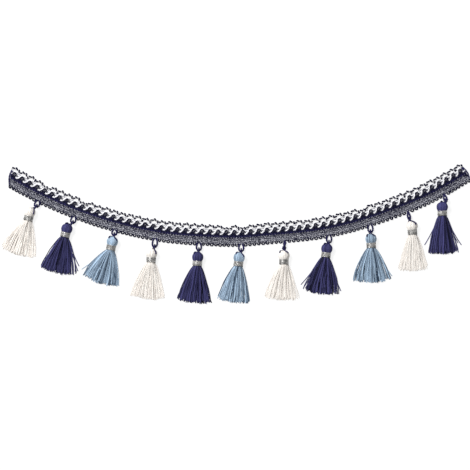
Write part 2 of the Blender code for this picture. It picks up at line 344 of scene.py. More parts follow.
class Net:
    """A node tree that is being wired."""

    def __init__(self, tree):
        self.tree = tree
        self.start = None

    def add(self, kind, plugs=None, **settings):
        """A new node, with its inputs plugged by name or number."""
        node = self.tree.nodes.new(kind)
        for name, value in settings.items():
            setattr(node, name, value)
        for key, value in (plugs or {}).items():
            self.plug(node.inputs[key], value)
        return node

    def plug(self, socket, value):
        if isinstance(value, Reading):
            self.tree.links.new(value.socket, socket)
        else:
            socket.default_value = value

    def of(self, kind, plugs=None, output=0, **settings):
        """What one output of a new node gives."""
        return Reading(self, self.add(kind, plugs, **settings).outputs[output])

    def sum(self, operation, *values):
        node = self.tree.nodes.new("ShaderNodeMath")
        node.operation = operation
        for socket, value in zip(node.inputs, values):
            self.plug(socket, value)
        return Reading(self, node.outputs[0])

    def given(self, label):
        """One of the tree's own inputs."""
        if self.start is None:
            self.start = self.tree.nodes.new("NodeGroupInput")
        return Reading(self, self.start.outputs[label])

    def give(self, readings):
        """Plugs the tree's own outputs, by label."""
        end = self.tree.nodes.new("NodeGroupOutput")
        for label, value in readings.items():
            self.plug(end.inputs[label], value)

    def group(self, tree, plugs, output=0):
        """What another tree gives, used here as one node."""
        kind = "GeometryNodeGroup" if tree.bl_idname == "GeometryNodeTree" else "ShaderNodeGroup"
        return self.of(kind, plugs, output, node_tree=tree)

    def sin(self, value):
        return self.sum("SINE", value)

    def cos(self, value):
        return self.sum("COSINE", value)

    def floor(self, value):
        return self.sum("FLOOR", value)

    def least(self, one, other):
        return self.sum("MINIMUM", one, other)

    def most(self, one, other):
        return self.sum("MAXIMUM", one, other)

    def size(self, value):
        return self.sum("ABSOLUTE", value)

    def within(self, value, low, high):
        """How far a value has come from low to high, from 0 to 1."""
        return self.of(
            "ShaderNodeMapRange",
            {"Value": value, "From Min": low, "From Max": high, "To Min": 0.0, "To Max": 1.0},
        )

    def arrow(self, x, y, z):
        return self.of("ShaderNodeCombineXYZ", {"X": x, "Y": y, "Z": z})

    def parts(self, arrow):
        node = self.add("ShaderNodeSeparateXYZ", {"Vector": arrow})
        return [Reading(self, output) for output in node.outputs]

    def chance(self, low, high, seed, number):
        """A random amount for each whole number."""
        plugs = {RANDOM_LOW: low, RANDOM_HIGH: high, RANDOM_ID: number, RANDOM_SEED: seed}
        return self.of("FunctionNodeRandomValue", plugs, RANDOM_RESULT, data_type="FLOAT")

    def noise(self, where, scale, detail=1.0):
        """A cloudy random amount from place to place, from 0 to 1."""
        plugs = {"Vector": where, "Scale": scale, "Detail": detail}
        return self.of("ShaderNodeTexNoise", plugs)

    def drift(self, place, pace):
        """A slow random change along something, from about -0.5 to 0.5."""
        return self.noise(self.arrow(place * pace, self.given("Seed"), 0.0), 1.0) - 0.5

    def table(self, value, pairs):
        """A smooth curve through (place, amount) pairs, read at value."""
        first, last = pairs[0][0], pairs[-1][0]
        low = min(amount for place, amount in pairs)
        high = max(amount for place, amount in pairs)
        if high == low:
            return low
        node = self.add("ShaderNodeFloatCurve", {"Value": self.within(value, first, last)})
        curve = node.mapping.curves[0]
        while len(curve.points) < len(pairs):
            curve.points.new(0.5, 0.5)
        for point, (place, amount) in zip(curve.points, pairs):
            point.location = ((place - first) / (last - first), (amount - low) / (high - low))
        node.mapping.update()
        return Reading(self, node.outputs[0]) * (high - low) + low

    # -- geometry only --

    def join(self, *geometries):
        node = self.tree.nodes.new("GeometryNodeJoinGeometry")
        for geometry in reversed(geometries):
            self.tree.links.new(geometry.socket, node.inputs[0])
        return Reading(self, node.outputs[0])

    def keep(self, geometry, name, value, kind="FLOAT", domain="POINT"):
        """The geometry with a named attribute stored on it."""
        plugs = {"Geometry": geometry, "Name": name, "Value": value}
        return self.of("GeometryNodeStoreNamedAttribute", plugs, data_type=kind, domain=domain)

    def kept(self, name, kind="FLOAT"):
        return self.of("GeometryNodeInputNamedAttribute", {"Name": name}, data_type=kind)

    def along(self, output=0):
        """How far along its curve a point is: a share, or with output 1 a length."""
        return self.of("GeometryNodeSplineParameter", output=output)

    def place(self):
        """Where a point is."""
        return self.of("GeometryNodeInputPosition")

    def move(self, geometry, position):
        return self.of("GeometryNodeSetPosition", {"Geometry": geometry, "Position": position})

    def line(self, points):
        straight = self.of("GeometryNodeCurvePrimitiveLine")
        return self.of("GeometryNodeResampleCurve", {"Curve": straight, "Count": points})

    def lines(self, number, points):
        """Many lines, each with its number kept on it."""
        seeds = self.of("GeometryNodePoints", {"Count": number})
        seeds = self.keep(seeds, "number", self.of("GeometryNodeInputIndex"))
        plugs = {"Points": seeds, "Instance": self.line(points)}
        return self.real(self.of("GeometryNodeInstanceOnPoints", plugs))

    def real(self, geometry):
        return self.of("GeometryNodeRealizeInstances", {"Geometry": geometry})

    def dress(self, geometry, material, chosen=True):
        plugs = {"Geometry": geometry, "Material": material, "Selection": chosen}
        return self.of("GeometryNodeSetMaterial", plugs)

    def thread(self, path, width, sides, outward=0.0):
        """A round thread along a path, with its length and its roundness kept on it."""
        path = self.keep(path, "along", self.along(1))
        plugs = {"Resolution": sides, "Radius": width * 0.5}
        profile = self.of("GeometryNodeCurvePrimitiveCircle", plugs)
        around = self.of("ShaderNodeVectorMath", {0: self.place()}, operation="NORMALIZE")
        profile = self.keep(profile, "around", around, "FLOAT_VECTOR")
        plugs = {"Geometry": profile, "Translation": self.arrow(outward, 0.0, 0.0)}
        profile = self.of("GeometryNodeTransform", plugs)
        plugs = {"Curve": path, "Profile Curve": profile, "Fill Caps": True}
        return self.of("GeometryNodeCurveToMesh", plugs)


def new_tree(name, kind, gives, takes):
    """An empty tree or group with named outputs and inputs."""
    tree = bpy.data.node_groups.new(name, kind)
    for label, socket in gives:
        tree.interface.new_socket(name=label, in_out="OUTPUT", socket_type=socket)
    for label, socket, start in takes:
        made = tree.interface.new_socket(name=label, in_out="INPUT", socket_type=socket)
        if start is not None:
            made.default_value = start
    return Net(tree)


trees = {}


def tree_of(make):
    """The tree that a function makes, built once and then used again."""
    name = make.__name__
    if name not in trees:
        trees[name] = make(name)
    return trees[name]


def grow(name, tree, settings, path=None):
    """Runs a geometry tree, and returns what it makes as a plain mesh object."""
    host = bpy.data.objects.new(name + "_host", path or bpy.data.meshes.new(name + "_host"))
    bpy.context.scene.collection.objects.link(host)
    modifier = host.modifiers.new("Grow", "NODES")
    modifier.node_group = tree
    for item in tree.interface.items_tree:
        if item.in_out == "INPUT" and item.name in settings:
            modifier[item.identifier] = settings[item.name]
    bpy.context.view_layer.update()
    evaluated = host.evaluated_get(bpy.context.evaluated_depsgraph_get())
    mesh = bpy.data.meshes.new_from_object(evaluated)
    mesh.name = name
    piece = bpy.data.objects.new(name, mesh)
    bpy.context.scene.collection.objects.link(piece)
    bpy.data.objects.remove(host)
    return piece


# ---- geometry trees: cords ----

PLY_SHARE = 0.64  # a ply's diameter, as a share of its cord's
PLY_HUG = 0.12  # how far from the cord's middle a thin ply's near side lies, as a share of it
MOTTLE = 260.0  # how fast a cord's tone changes from place to place


def twisted_cord(name):
    """Two plies twisted round each other along a path."""
    takes = [
        ("Path", GEOMETRY, None),
        ("Width", NUMBER, 0.001),
        ("Turn length", NUMBER, 0.0026),
        ("Steps in a turn", WHOLE, 8),
        ("Sides", WHOLE, 5),
        ("Second ply", NUMBER, 1.0),
        ("Thread", MATERIAL, None),
        ("Second thread", MATERIAL, None),
    ]
    net = new_tree(name, "GeometryNodeTree", [("Cord", GEOMETRY)], takes)
    turn = net.given("Turn length")
    step = turn / net.given("Steps in a turn")
    plugs = {"Curve": net.given("Path"), "Length": step}
    path = net.of("GeometryNodeResampleCurve", plugs, mode="LENGTH")
    path = net.keep(path, "tone", net.noise(net.place(), MOTTLE))
    full = net.given("Width")
    plies = []
    for start, size, thread in (
        (0, 1.0, "Thread"),
        (pi, net.given("Second ply"), "Second thread"),
    ):
        plugs = {"Curve": path, "Tilt": net.along(1) / turn * tau + start}
        tilted = net.of("GeometryNodeSetCurveTilt", plugs)
        width = full * size * PLY_SHARE
        out = net.least((full - width) * 0.5, full * PLY_HUG + width * 0.5)
        ply = net.thread(tilted, width, net.given("Sides"), out)
        plies.append(net.dress(ply, net.given(thread)))
    net.give({"Cord": net.join(*plies)})
    return net.tree


def round_the_bow(name):
    """Bends flat work, laid along x with the tassels' side at -y, round the braid's bow."""
    takes = [
        ("Flat", GEOMETRY, None),
        ("Bow radius", NUMBER, 0.384),
        ("Bow start", NUMBER, radians(-30.5)),
    ]
    net = new_tree(name, "GeometryNodeTree", [("Bent", GEOMETRY)], takes)
    x, y, z = net.parts(net.place())
    radius = net.given("Bow radius")
    nearness = net.most(1.0 - x / SLANT_REACH, 0.0) ** 2.0
    turn = (x - y * nearness * END_SLANT) / radius + net.given("Bow start")
    degrees = turn * (180 / pi)
    reach = radius - y
    for stray in STRAYS:
        away = (degrees - stray.place) / stray.spread
        reach = reach + net.sum("EXPONENT", away * away * -1.0) * stray.shift
    bent = net.arrow(reach * net.sin(turn), radius - reach * net.cos(turn), z)
    net.give({"Bent": net.move(net.given("Flat"), bent)})
    return net.tree


BOW_TAKES = [
    ("Bow radius", NUMBER, 0.384),
    ("Bow start", NUMBER, radians(-30.5)),
    ("Braid length", NUMBER, 0.4155),
    ("Repeats", WHOLE, 58),
    ("Seed", WHOLE, 1),
]
CORD_TAKES = [
    ("Width", NUMBER, 0.001),
    ("Turn length", NUMBER, 0.0026),
    ("Second ply", NUMBER, 1.0),
    ("Thread", MATERIAL, None),
    ("Second thread", MATERIAL, None),
]


def bend(net, flat):
    plugs = {label: net.given(label) for label in ("Bow radius", "Bow start")}
    return net.group(tree_of(round_the_bow), {"Flat": flat, **plugs})


POINTS_IN_REPEAT = 20.0
NUDGE = 0.0001  # puts a repeat's first point in that repeat, and not at the end of the last one
WANDER = 0.0004  # how far a cord strays across the braid
LAG = 0.07  # how far it runs ahead or behind, as a share of a repeat


def plain(net, path, step=0.0008):
    """One round thread along a path."""
    path = net.of("GeometryNodeResampleCurve", {"Curve": path, "Length": step}, mode="LENGTH")
    path = net.keep(path, "tone", net.noise(net.place(), MOTTLE))
    return net.dress(net.thread(path, net.given("Width"), 5), net.given("Thread"))


def cord(net, path, sides=5, steps=8):
    labels = ("Width", "Turn length", "Second ply", "Thread", "Second thread")
    plugs = {label: net.given(label) for label in labels}
    plugs.update({"Path": path, "Sides": sides, "Steps in a turn": steps})
    return net.group(tree_of(twisted_cord), plugs)


def row(name, lays, steps):
    """A tree for one or more cords that run the braid's length. Each lay takes the net, the
    repeat's number and how far through it a point is, and gives shares along, across and up.
    steps are those in a turn of the cord, and with no steps it is a plain thread."""
    net = new_tree(name, "GeometryNodeTree", [("Braid", GEOMETRY)], BOW_TAKES + CORD_TAKES)
    repeats = net.given("Repeats")
    pitch = net.given("Braid length") / repeats
    cords = []
    for lay in lays:
        path = net.line(repeats * POINTS_IN_REPEAT + 1.0)
        progress = net.along() * repeats
        number = net.least(net.floor(progress + NUDGE), repeats - 1.0)
        along, across, up = lay(net, number, progress - number)
        path = net.move(path, net.arrow((number + along) * pitch, across * -1.0, up))
        path = bend(net, path)
        cords.append(cord(net, path, steps=steps) if steps else plain(net, path))
    net.give({"Braid": net.real(net.join(*cords))})
    return net.tree


def lay_from(table):
    """A lay through a table's rows, which strays a little from repeat to repeat."""
    last = len(table) - 1
    columns = [[(i / last, line[k]) for i, line in enumerate(table)] for k in range(3)]

    def lay(net, number, through):
        along, across, up = (net.table(through, pairs) for pairs in columns)
        place = number + through
        along = along + net.drift(place, pace=0.9) * LAG
        across = across + net.drift(place + 40.0, pace=1.3) * WANDER
        return along, across, up

    return lay


ARCH_FOOT = -0.0063  # where the arches spring from, across the braid
ARCH_RISE = 0.0029
ARCH_UP = 0.0014
ARCH_SQUARENESS = 0.6  # 1 is a plain wave, and less stands squarer
ARCH_LIFT = 0.0003  # how much higher a crest lies than a notch
STANDING_ARCHES = 0.88  # the share of the arches that aren't pressed flat
PRESSED = 0.75  # how much of its rise a pressed arch loses


def arch_lay(net, number, through):
    """Low arches that meet in notches, a few of them pressed nearly flat."""
    seed = net.given("Seed")
    rise = net.chance(0.8, 1.1, seed, number)
    luck = net.chance(0.0, 1.0, seed + 5.0, number)
    rise = rise * (1.0 - net.sum("GREATER_THAN", luck, STANDING_ARCHES) * PRESSED)
    wave = net.sin(through * pi) ** ARCH_SQUARENESS
    across = ARCH_FOOT - wave * rise * ARCH_RISE
    across = across + net.drift(number + through, pace=0.7) * WANDER
    return through, across, ARCH_UP + wave * ARCH_LIFT


def swaying_lay(line, sway, start, pace, up):
    """A cord that sways to and fro once in a repeat, about a line. It lies nearest the tassels at
    start, and pace says how fast it wanders."""

    def lay(net, number, through):
        across = line + net.cos((through - start) * tau) * sway
        return through, across + net.drift(number + through, pace) * WANDER, up

    return lay


# The gimp that runs along the tops of the hooks, and the one behind them.
BAND_LAY = swaying_lay(line=-0.0062, sway=0.0002, start=0.0, pace=1.1, up=0.0014)
INNER_BAND_LAY = swaying_lay(line=-0.0048, sway=0.0005, start=0.97, pace=1.2, up=0.0012)

TACKING_LINE = 0.0010
TACKING_UP = 0.0012
STITCHES = 3.0  # tacking stitches in a repeat
STITCH_HEIGHT = 0.0005


def tacking_lay(net, number, through):
    """The silver-grey thread that shows in dots under the navy row."""
    across = TACKING_LINE + net.drift(number + through, pace=1.4) * (1.5 * WANDER)
    return through, across, TACKING_UP + net.sin(through * tau * STITCHES) * STITCH_HEIGHT


PLAIT_STRANDS = 3
PLAIT_SWAY = 0.0008
PLAIT_UP = 0.0015
PLAIT_LIFT = 0.0004


def plait_lay(strand):
    """One of the strands of the navy row."""

    def lay(net, number, through):
        phase = through * tau + strand * tau / PLAIT_STRANDS
        up = PLAIT_UP + net.sin(phase * 2.0) * PLAIT_LIFT
        return through, net.sin(phase) * PLAIT_SWAY, up

    return lay


# ---- geometry trees: the rest of the braid ----


def woven_cloth(name):
    """The thin cloth that holds the braid's cords, as one closed sheet."""
    takes = BOW_TAKES + [("Thickness", NUMBER, 0.0009), ("Thread", MATERIAL, None)]
    net = new_tree(name, "GeometryNodeTree", [("Cloth", GEOMETRY)], takes)
    long, thick = net.given("Braid length"), net.given("Thickness")
    size = net.arrow(long, CLOTH_END - CLOTH_TOP, thick)
    plugs = {"Size": size, "Vertices X": 240, "Vertices Y": 14, "Vertices Z": 2}
    sheet = net.of("GeometryNodeMeshCube", plugs)
    middle = net.arrow(long * 0.5, -(CLOTH_END + CLOTH_TOP) / 2, thick * 0.5)
    sheet = net.of("GeometryNodeTransform", {"Geometry": sheet, "Translation": middle})
    sheet = net.keep(sheet, "strip", net.place(), "FLOAT_VECTOR")
    net.give({"Cloth": net.dress(net.real(bend(net, sheet)), net.given("Thread"))})
    return net.tree


GROUND_SLANT = 0.9  # how far a ground thread runs along for each metre across
GROUND_POINTS = 20  # points along a ground thread
GROUND_UP = 0.0012
GROUND_RELIEF = 0.00026  # how far a thread rises and dips as it crosses the others
GROUND_JITTER = 0.00006
END_MARGIN = 0.0003  # what the ground leaves free at the braid's cut ends
SLIP_SCALE = 330.0  # how fast the crossings slip out of step from place to place
SLIP_AMOUNT = 12.0
OWN_TONE = (-0.15, 0.2)  # the least and the most that a thread's own shade adds to its tone
ALTERNATE_TONE = 0.2  # what every second thread adds
PATCH_TONE = 0.9  # what a light patch adds
PATCH_SCALE = 700.0  # how fast light and dark patches follow each other
PAINTED_SHADE_BY_PLAIT = 0.6  # painted shade: how much darker the ground is painted under the navy row, where that row shades it


def ground_weave(name):
    """Two sets of slanting threads, woven over and under each other."""
    takes = BOW_TAKES + [
        ("Threads", WHOLE, 290),
        ("Width", NUMBER, 0.00105),
        ("Slant", NUMBER, GROUND_SLANT),
        ("Thread", MATERIAL, None),
        ("Second thread", MATERIAL, None),
    ]
    net = new_tree(name, "GeometryNodeTree", [("Ground", GEOMETRY)], takes)
    slant, seed, long = net.given("Slant"), net.given("Seed"), net.given("Braid length")
    depth = GROUND_END - GROUND_TOP
    spacing = long / net.given("Threads")
    sets = []
    for way, start, thread in ((1.0, 0, "Thread"), (-1.0, 50, "Second thread")):
        threads = net.lines(net.given("Threads"), GROUND_POINTS)
        number = net.kept("number")
        down = net.along() * depth
        jitter = net.chance(-GROUND_JITTER, GROUND_JITTER, seed + float(start), number)
        along = number * spacing + down * slant * way + jitter
        along = along - way * slant * depth * 0.5
        along = net.least(net.most(along, END_MARGIN), long - END_MARGIN)
        slips = net.noise(net.arrow(along, down, 0.0), SLIP_SCALE) * SLIP_AMOUNT
        crossing = net.cos(down * slant / spacing * tau + slips)
        up = GROUND_UP + way * crossing * GROUND_RELIEF
        flat = net.arrow(along, (down + GROUND_TOP) * -1.0, up)
        threads = bend(net, net.move(threads, flat))
        own = net.chance(*OWN_TONE, seed + 9.0 + start, number)
        every_second = net.sum("FLOORED_MODULO", number, 2.0) * ALTERNATE_TONE
        patch = net.within(net.noise(net.place(), PATCH_SCALE), 0.38, 0.62) * PATCH_TONE
        # painted shade: the ground is painted darker towards its top, where the navy row shades it
        shade = (1.0 - net.along()) ** 2.0 * PAINTED_SHADE_BY_PLAIT
        threads = net.keep(threads, "tone", own + every_second + patch - shade)
        mesh = net.thread(threads, net.given("Width"), 4)
        sets.append(net.dress(mesh, net.given(thread)))
    net.give({"Ground": net.real(net.join(*sets))})
    return net.tree


PICOT_LINE = 0.0074  # the middle of the picots, across the braid
PICOT_UP = 0.0010
PICOT_HALF_WIDTH = 0.0012
PICOT_ROUND = 0.93  # how much of a full ring a picot makes
PICOT_CLIMB = 0.00008  # how far a ring rises for each radian, so that its ends pass
CUT_MARGIN = 0.0014  # how far the first and the last picot stand from the cut ends
PICOT_POINTS = 19
EDGE_LINE = 0.0066  # where the cord between the picots runs
EDGE_UP = 0.0009
EDGE_WANDER = 0.0003


def picot_edging(name):
    """A ring of cord at each point of the host mesh, and a cord that runs between them."""
    takes = [("Places", GEOMETRY, None)] + BOW_TAKES + CORD_TAKES
    net = new_tree(name, "GeometryNodeTree", [("Edging", GEOMETRY)], takes)
    turn = (net.along() - 0.5) * (tau * PICOT_ROUND)
    x, y = net.sin(turn) * PICOT_HALF_WIDTH, net.cos(turn) * -PICOT_HALF_WIDTH
    ring = net.move(net.line(PICOT_POINTS), net.arrow(x, y, turn * PICOT_CLIMB))
    number = net.of("GeometryNodeInputIndex")
    seed = net.given("Seed")
    wide = net.chance(0.72, 1.08, seed, number)
    long = net.chance(0.86, 1.08, seed + 1.0, number)
    lean = net.chance(-0.3, 0.3, seed + 2.0, number)
    plugs = {
        "Points": net.given("Places"),
        "Instance": ring,
        "Rotation": net.arrow(0.0, 0.0, lean),
        "Scale": net.arrow(wide, long, 1.0),
    }
    rings = net.real(net.of("GeometryNodeInstanceOnPoints", plugs))
    edge = net.line(net.given("Repeats") * 10.0)
    down = net.drift(net.along() * net.given("Repeats"), pace=1.0) * EDGE_WANDER + EDGE_LINE
    flat = net.arrow(net.along() * net.given("Braid length"), down * -1.0, EDGE_UP)
    paths = net.join(rings, net.move(edge, flat))
    net.give({"Edging": net.real(cord(net, bend(net, paths), steps=7))})
    return net.tree


# ---- geometry trees: what hangs from the braid ----


def on_chains(name, lay):
    """A tree that lays cord or thread smoothly along the host mesh's chains of edges."""
    takes = [("Chain", GEOMETRY, None)] + CORD_TAKES
    net = new_tree(name, "GeometryNodeTree", [("Cord", GEOMETRY)], takes)
    path = net.of("GeometryNodeMeshToCurve", {"Mesh": net.given("Chain")})
    path = net.of("GeometryNodeCurveSplineType", {"Curve": path}, spline_type="CATMULL_ROM")
    net.give({"Cord": net.real(lay(net, path))})
    return net.tree


def cord_on_path(name):
    """A twisted cord along each chain."""
    return on_chains(name, lambda net, path: cord(net, path, sides=7, steps=10))


def strand_on_path(name):
    """A plain strand along each chain."""
    return on_chains(name, lambda net, path: plain(net, path, step=0.0012))


PLACE_TAKES = [
    ("Middle", ARROW, None),
    ("Lean", NUMBER, 0.0),
    ("Seed", WHOLE, 1),
    ("Thread", MATERIAL, None),
]


def put_in_place(net, upright):
    plugs = {
        "Geometry": upright,
        "Translation": net.given("Middle"),
        "Rotation": net.arrow(0.0, 0.0, net.given("Lean")),
    }
    return net.of("GeometryNodeTransform", plugs)


def outline(net, down):
    """Half width, height and underside of the head at a distance down from its middle."""
    return [net.table(down, [(line[0], line[k]) for line in HEAD_OUTLINE]) for k in (1, 2, 3)]


HEAD_CROWDING = 1.15  # above 1, a strand's points crowd towards the head's top
HEAD_JITTER = 0.35  # how far a strand strays from its even place, as a share of a strand
HEAD_WAVE = 0.04  # how far it wavers round the head, in radians
HEAD_PROUD = 0.00012  # how far some strands stand out
THINNEST = 0.0001  # the outline never closes further than this
STRAND_POINTS = 13  # points along a strand, on the head and in the skirt
CORE_SHRINK = 0.0003  # how far the core stays inside the head's half width
CORE_SINK = 0.0005  # and inside half its height
CORE_HALF_LENGTH = 0.0040
CORE_DOWN = 0.0004  # how far down from the head's middle the core lies
CORE_TONE = 0.3


def folded_head(net):
    """The fold of the hank: strands that run from its top over the head and into the neck."""
    width = net.given("Head strand")
    strands = net.lines(net.given("Head strands"), STRAND_POINTS)
    number = net.kept("number")
    seed = net.given("Seed")
    first, last = HEAD_OUTLINE[0][0], HEAD_OUTLINE[-1][0]
    down = net.along() ** HEAD_CROWDING * (last - first) + first
    half, height, lift = outline(net, down)
    shift = net.chance(-HEAD_JITTER, HEAD_JITTER, seed, number)
    bearing = (number + shift) / net.given("Head strands") * tau
    bearing = bearing + net.sin(net.along() * 3.0 + number) * HEAD_WAVE
    out = net.most(half - width * 0.5, THINNEST)
    rise = net.most(height * 0.5 - width * 0.5, THINNEST)
    proud = net.chance(0.0, 1.0, seed + 3.0, number) * HEAD_PROUD
    x = net.cos(bearing) * (out + proud)
    z = lift + height * 0.5 + net.sin(bearing) * rise
    strands = net.move(strands, net.arrow(x, down * -1.0, z))
    strands = net.keep(strands, "tone", net.chance(0.15, 0.85, seed + 4.0, number))
    core = net.of("GeometryNodeMeshUVSphere", {"Segments": 16, "Rings": 10, "Radius": 1.0})
    half_height = HEAD_HEIGHT / 2
    plugs = {
        "Geometry": core,
        "Translation": (0.0, -CORE_DOWN, half_height),
        "Scale": (HEAD_HALF_WIDTH - CORE_SHRINK, CORE_HALF_LENGTH, half_height - CORE_SINK),
    }
    core = net.keep(net.of("GeometryNodeTransform", plugs), "tone", CORE_TONE)
    return net.thread(strands, width, 4), core


# The skirt. Across it, a strand lies at 0 in the middle and at 1 or -1 at the edges.
HIDDEN = 0.09  # how much of a strand lies inside the binding, as a share of what shows
LAYERS = 3  # locks lie over each other in so many layers
LOCK_NUMBERS = 40.0  # between the first lock of one layer and the first of the next
LOCK_SHIFT = 0.35  # how far a lock strays from its even place, as a share of a lock
LOCK_WIDTH = 2.4  # how wide a lock starts, in even places
GATHER = 0.7  # how much the lowest locks narrow on their way down
STRAY_FROM = 0.965  # strands whose luck is above this leave their lock
STRAY_OUT = 3.0  # how much wider they spread
FURTHEST = 1.04  # how far out a strand may lie
EDGE_CROWDING = 0.72  # below 1, strands crowd towards the skirt's middle
NECK_HEIGHT = 0.0042  # how much higher the skirt stands at the neck than at its cut end
NECK_FALL = 1.4  # above 1, its height falls fastest near the neck
END_HEIGHT = 0.0019
EDGE_FALL = 0.58  # how much lower its top is at the edges, as a share
EDGE_LIFT_FROM = 0.6  # where its underside starts to rise towards the edges
PINCHED_TO = 0.06  # how far down the binding still pinches the strands
PINCH_FLAT = 0.25  # how much flatter it presses them, as a share
PINCH_UP = 0.0007  # how far it lifts them
PINCH_IN = 0.0008  # how far it draws them in
SHOULDER = 0.4  # how much wider than straight lines the skirt stands near the neck
CUT_LENGTH = 0.985  # the longest strands of a middling lock, as a share of the skirt's length
CUT_SHORT = 0.08  # how much shorter the shortest are
LOCK_CUT = (-0.025, 0.020)  # the least and the most that a lock adds
SPEEDS = (3.0, 8.0)  # how fast strands sway on their way down, in radians
SWAY = 0.0004
STRAY_SWAY = 0.0009
FINE_SPEED = 2.7  # how much faster a strand's finer sway goes
FINE_SWAY = 0.00015
UP_SWAY = 0.0001
# The strands' random tones reach down to the dark colour, so that dark strands partly stand in for
# painted shade between strands.
STRAND_TONE = 0.75  # what a strand's own luck adds to its tone
LOCK_TONE = 0.4  # what its lock's luck adds
LEAST_TONE = -0.12
TONE_KEPT_IN_PAINTED_SHADE = 0.3  # painted shade: how much of its tone a strand in the lowest layer keeps, lying under the others


def lean_at(net, side):
    """The lean of a strand that lies at side, from -1 at the left edge to 1 at the right."""
    left, right = net.given("Left edge"), net.given("Right edge")
    return left + (right - left) * (side + 1.0) * 0.5


def cut_skirt(net):
    """The skirt: cut strands that gather in locks as they fan out, and end unevenly."""
    width, locks = net.given("Skirt strand"), net.given("Locks")
    strands = net.lines(net.given("Skirt strands"), STRAND_POINTS)
    number, seed = net.kept("number"), net.given("Seed")

    def luck(low, high, draw, of=number):
        return net.chance(low, high, seed + draw, of)

    # which lock a strand lies in, and where across the skirt that lock lies
    layer = luck(0.0, 1.0, 11.0)
    lock = net.floor(luck(0.0, 0.999, 12.0) * locks)
    lock = lock + net.floor(layer * (LAYERS - 0.01)) * LOCK_NUMBERS
    of_layer = net.sum("FLOORED_MODULO", lock, LOCK_NUMBERS)
    shift = luck(-LOCK_SHIFT, LOCK_SHIFT, 13.0, lock)
    middle = (of_layer + 0.5 + shift) / locks * 2.0 - 1.0
    own = luck(-1.0, 1.0, 14.0) / locks

    # how far down a point is: through starts inside the binding, and fall at its lower edge
    through = net.along() * (1.0 + HIDDEN) - HIDDEN
    fall = net.most(through, 0.0)
    stray = net.sum("GREATER_THAN", luck(0.0, 1.0, 15.0), STRAY_FROM)
    side = middle + own * (LOCK_WIDTH - fall * (layer + GATHER - stray * STRAY_OUT))
    side = net.least(net.most(side, -FURTHEST), FURTHEST)
    out = net.size(side)
    spread = 1.0 - (1.0 - net.least(out, 1.0)) ** EDGE_CROWDING
    side = side * (spread / net.most(out, 0.01))

    # how high it lies
    top = 1.0 - net.least(out, 1.0) ** 4.0 * EDGE_FALL
    bottom = net.most(out - EDGE_LIFT_FROM, 0.0)
    height = (1.0 - fall) ** NECK_FALL * NECK_HEIGHT + END_HEIGHT
    rise = height * (bottom + layer * (top - bottom))
    tight = 1.0 - net.within(through, -HIDDEN, PINCHED_TO)
    rise = rise * (1.0 - tight * PINCH_FLAT) + tight * PINCH_UP

    # how far it reaches, and how it sways
    half = BINDING_HALF_WIDTH - width * 0.5 - tight * PINCH_IN
    lean = lean_at(net, side)
    uneven = luck(-CUT_SHORT, 0.0, 16.0) + luck(*LOCK_CUT, 17.0, lock)
    reach = net.given("Skirt length") * (uneven + CUT_LENGTH) * through
    shoulder = 1.0 + (1.0 - fall) * SHOULDER
    phase, speed = luck(0.0, tau, 18.0), luck(*SPEEDS, 19.0)
    sway = net.sin(fall * speed + phase) * fall * (SWAY + stray * STRAY_SWAY)
    sway = sway + net.sin(fall * speed * FINE_SPEED + phase) * fall * FINE_SWAY
    x = side * half + reach * net.sin(lean) * shoulder + sway
    y = (BINDING_END + CORD_GAP + reach * net.cos(lean)) * -1.0
    z = net.most(rise, width * 0.5) + net.cos(fall * speed + phase) * fall * UP_SWAY
    strands = net.move(strands, net.arrow(x, y, net.most(z, width * 0.5)))

    # a strand has its own tone and its lock's, which vary at random and partly stand in for
    # painted shade between strands, and the lower layers, under the others, are painted darker as
    # painted shade
    tone = net.within(luck(0.0, 1.0, 20.0), 0.3, 0.8) * STRAND_TONE
    tone = tone + luck(0.0, 1.0, 21.0, lock) ** 1.5 * LOCK_TONE + LEAST_TONE
    strands = net.keep(strands, "tone", tone * (TONE_KEPT_IN_PAINTED_SHADE + layer * (1.0 - TONE_KEPT_IN_PAINTED_SHADE)))
    return net.thread(strands, width, 4)


def hank_of_yarn(name):
    """A whole tassel of yarn: its head, its neck and its skirt."""
    takes = PLACE_TAKES + [
        ("Head strands", WHOLE, 78),
        ("Head strand", NUMBER, 0.0006),
        ("Skirt strands", WHOLE, 200),
        ("Skirt strand", NUMBER, 0.0008),
        ("Locks", WHOLE, 19),
        ("Left edge", NUMBER, -0.4),
        ("Right edge", NUMBER, 0.4),
        ("Skirt length", NUMBER, SKIRT_LENGTH),
    ]
    net = new_tree(name, "GeometryNodeTree", [("Hank", GEOMETRY)], takes)
    parts = [net.dress(part, net.given("Thread")) for part in (*folded_head(net), cut_skirt(net))]
    net.give({"Hank": net.real(put_in_place(net, net.join(*parts)))})
    return net.tree


POINTS_IN_TURN = 30.0
SLACK = 0.00045  # how far in and out a binding's turns stray
TURN_STRAY = 0.0004  # how far they stray along the neck
PAINTED_GLINTS = 3.2  # painted glints: how fast painted bright and dark reflections follow each other round the neck


